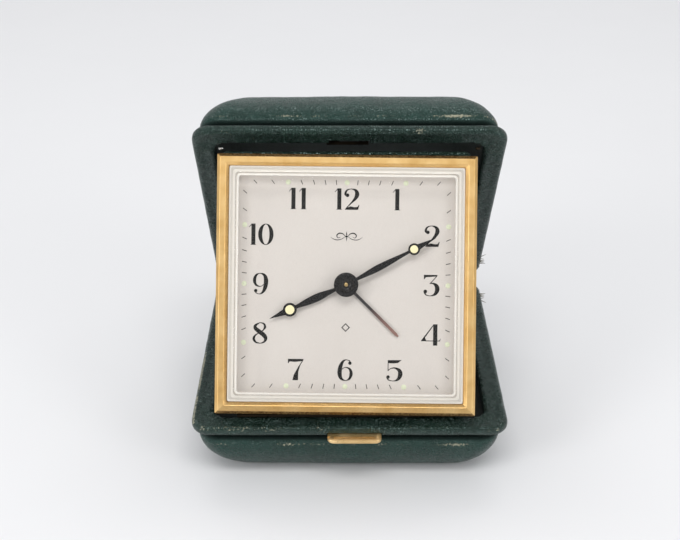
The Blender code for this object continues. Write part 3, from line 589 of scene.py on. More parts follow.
PAINTS = {
    "leather": leather_paint("leather", (0.004, 0.022, 0.015), (0.011, 0.045, 0.035), 0.27),
    "rim_leather": leather_paint(
        "rim_leather", (0.003, 0.012, 0.007), (0.008, 0.028, 0.018), 0.25, grain=0.5, relief=1.9, gloss=0.95,
    ),
    "lining": lining_paint(),
    "steel": metal_paint("satin_steel", (0.42, 0.43, 0.44), (0.6, 0.61, 0.62), 0.32, (1, 0.08, 1)),
    # Nearly black: painted shade for the case's frames and shells, where they show in the seams and the catch's
    # notch.
    "dark_steel": metal_paint("painted_shade_steel", (0.02, 0.022, 0.022), (0.045, 0.048, 0.047), 0.42),
    "nickel": metal_paint("bright_nickel", (0.6, 0.6, 0.58), (0.75, 0.75, 0.73), 0.14),
    "brass": metal_paint(
        "brass", (0.55, 0.38, 0.16), (0.76, 0.56, 0.27), 0.3, (0.08, 1, 1), tarnish_and_dark_reflection=(0.25, 0.14, 0.06),
    ),
    # Nearly black: painted shade for the clock's hinge parts, the catch plate and the right rest pin.
    "painted_shade_brass": metal_paint("painted_shade_brass", (0.025, 0.02, 0.015), (0.06, 0.045, 0.03), 0.5),
    # The bezel's gold: its dark brown is mostly painted dark reflection, with a few tarnish spots.
    "gold_across": metal_paint(
        "gold_across", (0.84, 0.52, 0.19), (0.92, 0.64, 0.29), 0.38, (0.1, 1, 1),
        tarnish_and_dark_reflection=(0.1, 0.045, 0.015), scratch=0.002, spotted=0.1,
    ),
    "gold": metal_paint("gold_plate", (0.78, 0.5, 0.21), (0.9, 0.66, 0.33), 0.24),
    "worn_gold": metal_paint(
        "worn_gold", (0.66, 0.44, 0.19), (0.9, 0.67, 0.36), 0.45, (0.06, 1, 1),
        tarnish_and_dark_reflection=(0.22, 0.13, 0.06), scratch=0.02,
    ),
    "dial": dial_paint(),
    "black": enamel_paint("black_enamel", (0.003, 0.003, 0.004), (0.009, 0.009, 0.01)),
    "alarm": alarm_hand_paint(),
    "ink": ink_paint(),
    "lume": lume_paint("hand_lume", (0.86, 0.78, 0.42), (0.95, 0.89, 0.6)),
    "pale_lume": lume_paint("dial_lume", (0.66, 0.72, 0.5), (0.8, 0.84, 0.65)),
    "acrylic": acrylic_paint(),
    "hide": leather_paint("bare_hide", (0.12, 0.1, 0.07), (0.32, 0.28, 0.2), 0.7),
}


# The case halves.


def dome_ring(shrink, share):
    """One ring of a half's dome at a share of the turn over its edge, shrunk by the layers outside it.

    The outermost layer is tucked in at the seam."""
    turn = math.radians(90 * share)
    tuck = 1.7 * max(0.0, 1 - share / 0.14) ** 2 if shrink == 0 else 0.0
    bulge = 0.25 * math.sin(math.pi * min(1.0, share / 0.5)) if shrink == 0 else 0.0
    inset = DOME_INSET + shrink + tuck - bulge + (DOME_EDGE - shrink) * (1 - math.cos(turn))
    depth = DOME_START + (HALF_DEPTH - shrink - DOME_START) * math.sin(turn)
    x, y = HALF_WIDTH - inset, HALF_LENGTH - inset
    corner = max(CASE_CORNER - shrink, 3.0) + 3 * share
    return box_ring(-x, x, -y, y, corner, depth, CASE_ARC, CASE_SIDE)


def dome(shrink, thick, crown, steps):
    """One layer of a case half. Its top is flat to within the crown's height."""
    flat = dome_ring(shrink, 1.0)
    outer = [dome_ring(shrink, (i / steps) ** 1.5) for i in range(steps)]
    flat = [(x, y, depth - crown) for x, y, depth in flat]
    outer.append(flat)
    for size in (0.9, 0.78, 0.64, 0.5, 0.36, 0.22, 0.08):
        rise = crown * (1 - size**2)
        outer.append([(x * size, y * size, depth + rise) for x, y, depth in flat])
    inner = [dome_ring(shrink + thick, i / 8) for i in range(9)]
    inner += [[(x * size, y * size, depth) for x, y, depth in inner[-1]] for size in (0.5, 0.1)]
    return loft(inner[::-1] + outer)


def rim_ring(edge, inset, depth):
    """A ring of the rim, at a distance in from its outer edge, or out from its inner lip."""
    if edge == "outer":
        x, y = HALF_WIDTH - inset, HALF_LENGTH - inset
        return box_ring(-x, x, -y, y, CASE_CORNER - inset, depth, CASE_ARC, CASE_SIDE)
    x = HALF_WIDTH - FRONT_LIP + inset
    y0, y1 = -HALF_LENGTH + FRONT_LIP - inset, HALF_LENGTH - BACK_LIP + inset
    return box_ring(-x, x, y0, y1, LIP_CORNER + inset, depth, CASE_ARC, CASE_SIDE)


def pleated(ring, height):
    """Pushes a ring's points at its two front corners up and down, as gathered leather lies."""
    reach, overlap, pleats = 11.0, 3.0, 26
    corner_x = HALF_WIDTH - FRONT_LIP - LIP_CORNER
    corner_y = -HALF_LENGTH + FRONT_LIP + LIP_CORNER
    moved_points = []
    for x, y, depth in ring:
        for cx, cy in ((-corner_x, corner_y), (corner_x, corner_y)):
            if (x - cx) * cx > -overlap and y < cy + overlap:
                angle = math.atan2(y - cy, x - cx)
                fade = max(0.0, 1 - math.hypot(x - cx, y - cy) / reach)
                depth += height * fade * (1 + math.sin(pleats * angle)) / 2
        moved_points.append((x, y, depth))
    return moved_points


def rim():
    """A channel of leather round the rim's steel frame, with rolled edges, a dipped face and pleats."""
    roll, lip_roll, wrap = 1.0, 0.9, 0.8
    back_roll = ((1.6, 0.0), (1.0, 0.1), (0.5, 0.35), (0.15, 0.8), (0, 1.4))
    rings = [rim_ring("outer", inset, RIM_THICK - depth) for inset, depth in back_roll]
    for i in range(6):
        turn = math.radians(90 * i / 5)
        inset, depth = roll * (1 - math.cos(turn)), RIM_GAP + roll * (1 - math.sin(turn))
        rings.append(rim_ring("outer", inset, depth))
    start, end = rim_ring("outer", roll, RIM_GAP), rim_ring("inner", lip_roll, RIM_GAP)
    for share, dip in ((0.25, 0.1), (0.5, 0.18), (0.75, 0.12)):
        ring = [between(a, b, share) for a, b in zip(start, end)]
        rings.append(pleated([(x, y, depth + dip) for x, y, depth in ring], 0.5 * share))
    for i in range(6):
        turn = math.radians(90 * i / 5)
        inset, depth = lip_roll * (1 - math.sin(turn)), RIM_GAP + lip_roll * (1 - math.cos(turn))
        rings.append(pleated(rim_ring("inner", inset, depth), 0.6))
    rings += [rim_ring("inner", 0, RIM_THICK), rim_ring("inner", wrap, RIM_THICK)]
    rings += [rim_ring(edge, wrap, RIM_GAP + wrap + 0.55) for edge in ("inner", "outer")]
    return loft(rings, closed=True)


def near(value, middle, width):
    """1 at the middle, falling smoothly to 0 at a distance."""
    return math.exp(-(((value - middle) / width) ** 2))


def dome_wear_and_shade(lid):
    """How worn a dome is: along the edge by the seam, most at the lid's front right. Below 0 is painted shade, in
    the groove at the seam.
    """

    def wear_and_painted_light(x, y, depth):
        edge = near(depth, DOME_START + 3.2, 0.7)
        front = 1.0 if y < -HALF_LENGTH + 14 else 0.5
        patch = 0.22 + 0.4 * ripple(x, y, depth, 6.0, 3)
        if lid:
            patch += 0.2 * near(x, 32, 9)
        low = 0.0 if lid else 0.3 * near(depth, DOME_START + 4.0, 0.5) * front
        # Painted shade: the dome's first few millimetres from the seam go below 0.
        seam = min(1.0, max(0.0, (DOME_START + 2.6 - depth) / 1.1))
        return min(1.0, max(0.0, (edge * front + low) * patch)) - seam

    return wear_and_painted_light


def rim_wear_and_painted_light(lid):
    """How worn a rim is: in patches along its rolled outer edge, with pale flecks on the base's front that are
    partly painted highlights. Below 0 is painted shade, along the seam.
    """

    def wear_and_painted_light(x, y, depth):
        # Painted shade: the rim's back edge, by the seam, is made dark.
        if depth > RIM_THICK - 0.4:
            return -1.0
        outer = max(abs(x) - (HALF_WIDTH - 0.95), abs(y) - (HALF_LENGTH - 0.95))
        edge = 1.0 if outer > 0 and depth < RIM_GAP + 1.1 else 0.0
        patch = 0.08 + 0.25 * ripple(x, y, depth, 5.0, 5)
        if lid:
            patch += 0.35 * near(x, 18, 0.8)
        elif y < 0:
            # Painted highlights: pale flecks all along the base's front edge, with real scuffs at its middle and
            # by its left corner.
            patch += 0.07 + 0.1 * near(x, -17, 9) + 0.3 * near(x, -39, 3)
        return min(1.0, edge * max(0.0, patch))

    return wear_and_painted_light


def brick(x0, x1, y0, y1, z0, z1):
    """A plain block, which cuts another piece or is fused into it."""
    return loft([[(x1, y1, z), (x0, y1, z), (x0, y0, z), (x1, y0, z)] for z in (z0, z1)])


def make_half(half, place, lid):
    """A half's leather cover, its leather rim with the notch for the latch, and its lining."""
    front = -HALF_LENGTH
    crown = 0.7 if lid else 0.0
    cover = add_piece(
        half + "_leather", dome(0, LEATHER, crown, 22), place, PAINTS["leather"], half,
        [half + "_cover"], 60, [(0.22, 11.0), (0.1, 4.0)], dome_wear_and_shade(lid),
    )
    if lid:
        lip = front + FRONT_LIP
        notch = brick(-5.3, 5.3, lip - 1.6, lip + 1, RIM_GAP - 1, RIM_THICK - 0.5)
    else:
        side_gap = 0.25
        low, high = box_mm("latch_tab")
        slot = (low.x - side_gap, high.x + side_gap)
        notch = brick(*slot, front - 1, front + FRONT_LIP + 1, RIM_THICK - 1.35, RIM_THICK + 1)
    add_piece(
        half + "_rim_leather", rim(), place, PAINTS["rim_leather"], half,
        [half + "_rim"], 50, [(0.07, 5.0), (0.05, 1.6)], rim_wear_and_painted_light(lid), cut=[notch],
    )
    add_piece(
        half + "_cloth_lining", dome(LINING_SHRINK, LINING_THICK, 0.0, 14), place, PAINTS["lining"], half,
        [half + "_lining"], 60, [(0.08, 9.0)],
    )


# The case's metal.


def make_latch():
    """The push tab: round front corners, two grooves across its top and a chip at its left edge."""
    low, high = box_mm("latch_tab")
    x0, x1, y0, y1 = low.x, high.x, low.y, high.y
    bottom, top = low.z, high.z
    nose = 1.6
    levels = [(0.18, bottom), (0.0, bottom + 0.18), (0.0, top - 0.22), (0.1, top - 0.07), (0.25, top)]
    rings = []
    for inset, z in levels:
        ring = [polar((x0 + nose, y0 + nose), nose - inset, 180 + 15 * i) for i in range(7)]
        ring += [polar((x1 - nose, y0 + nose), nose - inset, 270 + 15 * i) for i in range(7)]
        ring += [(x1 - inset, y1), (x0 + inset, y1)]
        rings.append([(x, y, z) for x, y in ring])
    grooves = [brick(x0 + 1.6, x1 - 1.6, y, y + 0.18, top - 0.12, top + 1) for y in (y0 + 0.75, y0 + 1.3)]
    chip = brick(x0 - 1, x0 + 0.5, y0 + 1.2, y0 + 1.9, top - 0.4, top + 1)
    add_piece(
        "push_tab", loft(rings), TO_METRES, PAINTS["worn_gold"], "latch", ["latch_tab"], 30,
        cut=[*grooves, chip],
    )


def make_latch_spring():
    """A waved leaf spring behind the push tab, which presses it flat against the frame."""
    low, high = box_mm("latch_spring")
    middle, thick = (low.x + high.x) / 2, 0.35
    reach, front, back = middle - low.x, low.y + thick / 2, high.y - thick / 2
    wave = [(-reach, front), (-reach / 2, back), (0, front), (reach / 2, back), (reach, front)]
    strip = stroke([(middle + x, y, thick) for x, y in wave], 8)
    spring = add_piece(
        "waved_spring", plate(strip, low.z, high.z), TO_METRES, PAINTS["steel"], "base",
        ["latch_spring"], 40,
    )
    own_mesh(spring)


def make_hinge():
    """Each leaf's knuckles are round barrels with chamfered ends, on a flat strap, bored for the pin."""
    pin_y = HINGE.y / MM
    far = box_mm("base_hinge_leaf")[1]
    radius, reach = far.y - pin_y, far.x
    middle, gap = 9.0, 0.2
    back = pin_y - radius
    front = back + 0.45
    spans = {"base": [(-reach, -middle - gap), (middle + gap, reach)], "lid": [(-middle, middle)]}
    for half, place in (("base", BASE), ("lid", LID)):
        fuse = []
        for x0, x1 in spans[half]:
            fuse.append(rod(x0, x1, pin_y, 0, radius, 36))
            fuse.append(brick(x0 + 0.2, x1 - 0.2, back, front, 0.25, RIM_THICK - 0.1))
        add_piece(
            half + "_hinge_barrel", brick(-reach, reach, back, front, radius + 0.2, RIM_THICK), place,
            PAINTS["brass"], half, [half + "_hinge_leaf"], 40,
            fuse=fuse, cut=[rod(-reach - 1, reach + 1, pin_y, 0, 0.85, 24)],
        )


def make_fray():
    """Tufts of torn hide at the case's right back corners, by the hinge."""
    thicks = (0.2, 0.2, 0.19, 0.18, 0.16, 0.15, 0.13, 0.1, 0.07, 0.03)
    for half, place in (("lid", LID), ("base", BASE)):
        meshes = []
        for i in range(11):
            root = (HALF_WIDTH - 1.6 + 0.16 * (i % 5), HALF_LENGTH - 5.0 - 0.5 * i, 0.9 + 0.35 * (i % 4))
            lean = (1.0 + 0.5 * ((i * 7) % 5) / 4, -0.6 + 0.3 * ((i * 5) % 4), -0.5 + 0.33 * ((i * 3) % 4))
            path = []
            for s in (0, 0.5, 1.1, 1.7):
                sway = 0.25 * math.sin(3 * s + i) if s else 0.0
                path.append(tuple(start + s * step + sway for start, step in zip(root, lean)))
            rings = []
            for (x, y, z), thick in zip(smooth_path(path, 3), thicks):
                rings.append([(x, *polar((y, z), thick, 72 * k)) for k in range(5)])
            meshes.append(loft(rings))
        add_piece(
            half + "_fray_right", joined(*meshes), place, PAINTS["hide"], half, sharp=60,
        )


def make_rest_pins():
    """Short pins with domed tips, which point inwards from the lid's sides."""
    y, z, radius, shorter = -31.85, 0.2, 0.4, 1.5
    outline = ((0.0, 1.0), (0.55, 1.0), (0.72, 0.95), (0.86, 0.8), (0.95, 0.55), (1.0, 0.2))
    # The right pin is painted nearly black, as painted shade, so that it hardly shows.
    for word, side, paint in (("left", -1, "nickel"), ("right", 1, "painted_shade_brass")):
        node = "rest_pin_" + word
        tip, root = sorted(abs(corner.x) for corner in box_mm(node))
        tip += shorter
        rings = []
        for share, size in outline:
            x = side * (root + (tip - root) * share)
            rings.append([(x, *polar((y, z), radius * size, 15 * i)) for i in range(24)])
        add_piece(node + "_domed", loft(rings), LID, PAINTS[paint], "lid", [node], 50)


def make_catch():
    """The catch plate stands in the notch of the lid's lip, with a window for the latch. It is painted nearly
    black, as painted shade in the recess.
    """
    lip = -HALF_LENGTH + FRONT_LIP
    body = brick(-5.9, 4.9, lip + 0.1, lip + 0.5, 0.35, RIM_THICK - 0.2)
    window = brick(-2.6, 4.2, lip - 1, lip + 1, 1.2, RIM_THICK - 0.7)
    add_piece(
        "catch_window", body, LID, PAINTS["painted_shade_brass"], "lid", ["catch_plate"], 30, cut=[window],
    )


# The clock's outside.


def make_surround():
    """A square frame of leather with rolled edges, open behind the dial."""
    low, high, side = 1.3, 67.9, SURROUND_HALF
    back, front, roll = -1.5, 2.2, 0.6
    edge = []
    for i in range(5):
        turn = math.radians(90 * i / 4)
        edge.append((roll * (1 - math.sin(turn)), back + roll * (1 - math.cos(turn))))
    edge += [(inset, front + back - w) for inset, w in reversed(edge)]
    rings = [box_ring(-side + d, side - d, low + d, high - d, 2.0, w, 5, 20) for d, w in edge]
    rings += [face_ring(DIAL_HALF + 0.2, w, 1.5, 5, 20) for w in (front, back)]
    add_piece(
        "surround_leather", loft(rings, closed=True), CLOCK, PAINTS["rim_leather"], "clock",
        ["clock_surround"], 50, [(0.04, 3.0)],
    )


def make_bezel():
    """A pressed square frame: chamfered outside, flat, then a step down to a bright inner strip."""
    half = BEZEL_HALF
    profile = [(half, 2.4), (half, 5.25), (half - 0.05, 5.35), (half - 0.75, 5.95), (half - 0.85, 6.0)]
    profile += [(half - 2.15, 6.0), (half - 2.25, 5.96), (half - 2.9, 5.4), (half - 3.0, 5.2)]
    profile += [(half - 3.0, 3.9), (half - 1.5, 3.9), (half - 1.5, 2.4)]
    rings = [face_ring(size, w, 0.35, 3, 20) for size, w in profile]

    def painted_dark_reflection(x, v, w):
        """Painted dark reflection and shade: along the top and foot outside, and on the left and foot's inner
        bevel.
        """
        rise = v - FACE_V
        reach, upright = max(abs(x), abs(rise)), abs(x) > abs(rise)
        if reach > half - 0.8:
            return 0.1 if upright else 0.95
        near_side = x < 0 if upright else rise < 0
        if reach < half - 2.5:
            return 0.5 if near_side else 0.0
        return 0.3 if near_side and not upright else 0.0

    add_piece(
        "bezel_frame", loft(rings, closed=True), FACE, PAINTS["gold_across"], "clock", ["bezel"], 12,
        wear_and_painted_light=painted_dark_reflection,
    )


def make_crystal():
    """A flange under the bezel and a raised square block, moulded hollow."""
    step, block = 29.93, 28.1
    outside = [(CRYSTAL_HALF, 2.5, 0.6), (CRYSTAL_HALF, 3.6, 0.6), (step, 3.6, 0.5), (step, 5.15, 0.5)]
    outside += [(step - 0.1, 5.3, 0.5), (step - 0.4, 5.3, 0.5), (step - 0.5, 5.2, 0.5)]
    outside += [(step - 0.9, 5.25, 0.6), (step - 1.0, 5.4, 0.7)]
    outside += [(block + 0.35, 5.45, 1.0), (block + 0.1, 5.55, 1.0), (block, 5.8, 1.0)]
    outside += [(block - 0.2, 8.0, 1.0), (block - 0.3, 8.35, 1.0), (block - 0.55, 8.62, 0.9)]
    outside += [(block - 0.75, 8.72, 0.8), (block - 1.0, 8.75, 0.8)]
    inside = [(29.6, 2.5, 0.5), (29.6, 4.0, 0.5), (block - 0.35, 4.5, 0.8), (block - 0.55, 4.8, 0.8)]
    inside += [(block - 0.75, 7.6, 0.8), (block - 0.95, 7.9, 0.7), (block - 1.4, 8.1, 0.6)]
    rings = [face_ring(half, w, corner, 6, 4) for half, w, corner in inside[::-1] + outside]

    def painted_highlight(x, v, w):
        """Painted highlight: whitish on the ledge round the block, and along the block's top edge."""
        if 5.1 < w < 5.28:
            return 0.45
        return 0.62 if 5.28 < w < 5.5 or 8.2 < w < 8.74 else 0.0

    add_piece(
        "clear_crystal", loft(rings), FACE, PAINTS["acrylic"], "clock", ["crystal"], 40,
        wear_and_painted_light=painted_highlight,
    )


# The dial's print. Each numeral is drawn one unit high from its baseline, with thick stems and hairlines.

HAIR = 0.035


def stem(x):
    return [rectangle(x, x + 0.19, 0, 1), rectangle(x - 0.04, x + 0.23, 0, 0.02)]


def numeral_one(x=0.0):
    flag = stroke([(x - 0.12, 0.83, 0.02), (x - 0.05, 0.9, 0.03), (x + 0.02, 0.985, HAIR)], 4)
    return stem(x) + flag


def numeral_zero():
    turns = [math.tau * i / 36 for i in range(36)]
    ovals = ((0.36, 0.5), (0.17, 0.47))
    outer, inner = ([(0.36 + a * math.cos(t), 0.5 + b * math.sin(t)) for t in turns] for a, b in ovals)
    return [[outer[i], outer[(i + 1) % 36], inner[(i + 1) % 36], inner[i]] for i in range(36)]


def numeral_two():
    curl = [(0.13, 0.64, 0.05), (0.06, 0.74, 0.11), (0.13, 0.91, 0.07), (0.34, 0.98, HAIR), (0.55, 0.9, 0.13)]
    curl += [(0.61, 0.72, 0.2), (0.52, 0.52, 0.14), (0.32, 0.3, 0.06), (0.08, 0.05, HAIR)]
    foot = [(0.03, 0.0), (0.66, 0.0), (0.72, 0.23), (0.69, 0.23)]
    foot += [(0.63, 0.13), (0.5, 0.12), (0.3, 0.16), (0.1, 0.08)]
    return stroke(curl) + [foot, dot(0.16, 0.68, 0.085)]


def numeral_three():
    top = [(0.03, 0.8), (0.06, 0.8), (0.12, 0.89), (0.64, 0.93), (0.68, 1.0), (0.03, 1.0)]
    slope = stroke([(0.64, 0.95, HAIR), (0.48, 0.76, HAIR), (0.32, 0.6, HAIR)], 3)
    bowl = [(0.3, 0.59, HAIR), (0.46, 0.6, 0.07), (0.62, 0.48, 0.18), (0.66, 0.3, 0.21), (0.56, 0.1, 0.13)]
    bowl += [(0.35, 0.015, HAIR), (0.14, 0.06, 0.05), (0.05, 0.19, 0.08)]
    return [top, dot(0.1, 0.22, 0.085)] + slope + stroke(bowl)


def numeral_four():
    slope = [(0.58, 1.0), (0.62, 1.0), (0.09, 0.24), (0.0, 0.24)]
    wedge = [(0.0, 0.2), (0.0, 0.23), (0.18, 0.36), (0.24, 0.23), (0.24, 0.2)]
    serif = [(0.82, 0.2), (0.92, 0.34), (0.88, 0.2)]
    return [rectangle(0.56, 0.76, 0, 1), rectangle(0, 0.88, 0.2, 0.235), slope, wedge, serif]


def numeral_five():
    top = [(0.07, 0.84), (0.07, 1.0), (0.1, 0.99), (0.72, 1.0), (0.56, 0.87), (0.36, 0.84), (0.1, 0.85)]
    back = rectangle(0.07, 0.07 + HAIR, 0.48, 0.95)
    bowl = [(0.085, 0.5, HAIR), (0.22, 0.6, HAIR), (0.42, 0.62, 0.07), (0.62, 0.5, 0.17), (0.66, 0.31, 0.21)]
    bowl += [(0.56, 0.1, 0.13), (0.35, 0.015, HAIR), (0.12, 0.06, 0.05), (0.04, 0.18, 0.07)]
    return [top, back, dot(0.09, 0.2, 0.08)] + stroke(bowl)


def numeral_seven():
    top = [(0.0, 0.8), (0.03, 0.8), (0.08, 0.88), (0.3, 0.86), (0.68, 0.9), (0.74, 1.0), (0.0, 1.0)]
    leg = [(0.69, 0.95), (0.74, 0.97), (0.58, 0.7), (0.49, 0.4)]
    leg += [(0.48, 0.0), (0.22, 0.0), (0.28, 0.25), (0.48, 0.62)]
    return [top, leg]


def numeral_eight():
    spine = [(0.3, 0.96, 0.05), (0.15, 0.86, 0.12), (0.14, 0.73, 0.17), (0.32, 0.57, 0.2), (0.52, 0.42, 0.2)]
    spine += [(0.63, 0.25, 0.16), (0.55, 0.08, 0.08), (0.37, 0.015, HAIR)]
    back = [(0.3, 0.96, 0.05), (0.38, 0.985, HAIR), (0.54, 0.93, 0.08), (0.59, 0.78, 0.11), (0.5, 0.63, 0.05)]
    back += [(0.3, 0.5, HAIR), (0.13, 0.38, 0.08), (0.07, 0.22, 0.12), (0.17, 0.07, 0.08)]
    back += [(0.37, 0.015, HAIR)]
    return stroke(spine) + stroke(back)


def numeral_nine():
    loop = [(0.56, 0.5, HAIR), (0.36, 0.37, HAIR), (0.15, 0.45, 0.1), (0.08, 0.67, 0.15), (0.16, 0.9, 0.1)]
    loop += [(0.34, 0.985, HAIR), (0.54, 0.9, 0.13), (0.62, 0.66, 0.2), (0.58, 0.32, 0.18), (0.46, 0.09, 0.1)]
    loop += [(0.3, 0.015, HAIR), (0.13, 0.08, 0.05)]
    return stroke(loop) + [dot(0.14, 0.17, 0.08)]


def numeral_six():
    return [[(0.7 - x, 1 - y) for x, y in polygon] for polygon in numeral_nine()]


def moved(polygons, x, y=0.0, size=1.0):
    return [[(x + size * px, y + size * py) for px, py in polygon] for polygon in polygons]


def numeral(hour):
    """The polygons of an hour's numeral, one unit high."""
    drawn = {1: numeral_one, 2: numeral_two, 3: numeral_three, 4: numeral_four, 5: numeral_five}
    drawn.update({6: numeral_six, 7: numeral_seven, 8: numeral_eight, 9: numeral_nine, 0: numeral_zero})
    if hour < 10:
        return drawn[hour]()
    if hour == 11:
        return numeral_one() + numeral_one(0.48)
    return numeral_one() + moved(drawn[hour - 10](), 0.32)


def on_square(degrees, half):
    """Where a direction, clockwise from twelve, meets a square of half a side round the dial's middle."""
    x, y = math.sin(math.radians(degrees)), math.cos(math.radians(degrees))
    reach = half / max(abs(x), abs(y))
    return (x * reach, FACE_V + y * reach)


def make_dial():
    """The dial's plate, its numerals, and a track of ticks with a luminous dot at each hour."""
    numeral_half, tick_half, size = 21.9, 26.1, 5.45
    half = DIAL_HALF
    profile = [(half - 0.1, DIAL_BACK, 1.4), (half, DIAL_BACK + 0.1, 1.5)]
    profile += [(half, DIAL_TOP - 0.08, 1.5), (half - 0.08, DIAL_TOP, 1.4)]
    rings = [face_ring(reach, w, corner, 5, 8) for reach, w, corner in profile]
    bore = loft([[(x, y, w) for x, y in dot(*CENTRE, 1.9, 32)] for w in (1, 3)])
    add_piece("dial_plate", loft(rings), CLOCK, PAINTS["dial"], "clock", ["dial"], 30, cut=[bore])

    low, high = DIAL_TOP - 0.02, DIAL_TOP + 0.03
    for hour in range(1, 13):
        x, v = on_square(30 * hour, numeral_half)
        shape = numeral(hour)
        left, right = (pick(px for polygon in shape for px, _ in polygon) for pick in (min, max))
        placed = moved(shape, x - size * (left + right) / 2, v - size / 2, size)
        add_piece(f"numeral_{hour}", plate(placed, low, high), FACE, PAINTS["ink"], "clock")

    ticks, dots = [], []
    half_long, half_wide = 0.62, 0.085
    drop = [(0.66, low), (0.64, DIAL_TOP + 0.06), (0.4, DIAL_TOP + 0.12), (0.1, DIAL_TOP + 0.14)]
    for minute in range(60):
        x, v = on_square(6 * minute, tick_half)
        if minute % 5 == 0:
            dots.append(turned((x, v), drop, 24))
            continue
        dx, dy = math.sin(math.radians(6 * minute)), math.cos(math.radians(6 * minute))
        tick = []
        for a, b in rectangle(-half_long, half_long, -half_wide, half_wide):
            tick.append((x + a * dx + b * dy, v + a * dy - b * dx))
        ticks.append(tick)
    add_piece("minute_track", plate(ticks, low, high), FACE, PAINTS["ink"], "clock")
    add_piece("hour_dots", joined(*dots), FACE, PAINTS["pale_lume"], "clock")
    make_ornament(low, high)


def make_ornament(low, high):
    """Two plain ornaments: a scroll over the middle of the dial, and a small lozenge under it."""
    scroll = []
    for side in (-1, 1):
        curl = [(0.3, 0.1, 0.1), (0.9, 0.75, 0.22), (1.8, 0.95, 0.3)]
        curl += [(2.5, 0.4, 0.26), (2.2, -0.25, 0.16), (1.6, -0.05, 0.1)]
        tail = [(0.3, 0.1, 0.08), (1.4, -0.6, 0.16), (2.8, -0.75, 0.18), (4.1, -0.1, 0.06)]
        for line in (curl, tail):
            scroll += stroke([(side * x, y, width) for x, y, width in line], 6)
    scroll += [dot(0, 0.1, 0.3)]
    scroll += [[(-0.18, 0.5), (0.18, 0.5), (0, 1.5)], [(-0.16, -0.3), (0.16, -0.3), (0, -1.2)]]
    placed = moved(scroll, 0, FACE_V + 12.2)
    add_piece("dial_scroll", plate(placed, low, high), FACE, PAINTS["ink"], "clock")
    lozenge, middle = (moved([[(0, -a), (a, 0), (0, a), (-a, 0)]], 0, FACE_V - 11.0) for a in (1.1, 0.78))
    shape = plate(lozenge, low, high, middle)
    add_piece("dial_lozenge", shape, FACE, PAINTS["ink"], "clock")


# The hands.


def hand_outline(shape):
    """(half width, distance) pairs from tail to tip, as a smooth outline that points to twelve."""
    path = smooth_path(shape, 5)
    return [(half, far) for half, far in path] + [(-half, far) for half, far in reversed(path)]


def pointed(polygons, degrees):
    """Turns polygons from twelve to their place on the dial."""
    turn = math.radians(-degrees)
    cos, sin = math.cos(turn), math.sin(turn)
    return [[(x * cos - y * sin, FACE_V + x * sin + y * cos) for x, y in polygon] for polygon in polygons]


def make_hand(node, body, leaf, tip, ring, angle, low, bore):
    """A leaf-shaped hand with a ring that holds luminous paint, and a pointed tip past the ring."""
    far, outside, inside = ring
    top = low + HAND_THICK
    shapes = [hand_outline(leaf), hand_outline(tip), dot(0, far, outside, 40), dot(0, 0, HUB_RADIUS, 48)]
    holes = [dot(0, far, inside, 36), dot(0, 0, bore, 32)]
    mesh = plate(pointed(shapes, angle), low, top, pointed(holes, angle))
    add_piece(node + "_leaf", mesh, CLOCK, PAINTS["black"], body, [node])
    centre = pointed([[(0, far)]], angle)[0][0]
    profile = [(inside, low + 0.04), (inside, top - 0.02), (inside * 0.8, top + 0.04), (0.1, top + 0.07)]
    add_piece(node + "_leaf_lume", turned(centre, profile, 32), CLOCK, PAINTS["lume"], body)


def make_hands():
    leaf = [(0.35, 0.0), (0.4, 2.4), (0.62, 4.6), (0.98, 7.6), (0.88, 10.5), (0.56, 13.0), (0.42, 14.6)]
    tip = [(0.95, 16.3), (0.8, 17.2), (0.42, 19.2), (0.05, 21.3)]
    make_hand("hour_hand", "hour", leaf, tip, (15.7, 1.75, 1.18), angle=246.0, low=3.3, bore=1.12)
    leaf = [(0.3, 0.0), (0.36, 2.4), (0.55, 5.0), (0.82, 8.5), (0.74, 12.0), (0.46, 16.0), (0.34, 18.6)]
    tip = [(0.8, 20.1), (0.68, 21.2), (0.36, 23.4), (0.05, 25.8)]
    make_hand("minute_hand", "minute", leaf, tip, (19.5, 1.5, 1.02), angle=62.5, low=4.3, bore=0.7)

    length, half, half_tip, angle, steps = 18.8, 0.38, 0.2, 135.0, 24
    low, high, bore = 2.6, 2.85, 1.6
    bar = []
    for i in range(steps):
        a, b = length * i / steps, length * (i + 1) / steps
        end = half_tip if i == steps - 1 else half
        bar.append([(half, a), (end, b), (-end, b), (-half, a)])
    shapes = [*bar, dot(0, 0, HUB_RADIUS, 48)]
    mesh = plate(pointed(shapes, angle), low, high, pointed([dot(0, 0, bore, 32)], angle))

    def rubbed(x, v, w):
        return min(1.0, max(0.0, math.hypot(x, v - FACE_V) / length - 0.35) * 1.8)

    add_piece(
        "alarm_hand_bar", mesh, CLOCK, PAINTS["alarm"], "alarm_setting", ["alarm_hand"], wear_and_painted_light=rubbed,
    )

    profile = [(3.0, 5.3), (3.1, 5.36), (3.1, 5.55), (2.95, 5.7), (2.6, 5.76), (2.3, 5.7), (2.05, 5.72)]
    profile += [(1.85, 5.95), (1.6, 6.12), (1.2, 6.17), (0.95, 6.1), (0.8, 6.0)]
    disc = turned(CENTRE, profile, 64)
    add_piece("hub_disc", disc, CLOCK, PAINTS["black"], "minute", ["hub_cap"], 20)
    profile = [(0.5, 6.1), (0.5, 6.22), (0.44, 6.32), (0.3, 6.36), (0.08, 6.38)]
    add_piece("hub_pin", turned(CENTRE, profile, 32), CLOCK, PAINTS["brass"], "minute")


# The clock's back.


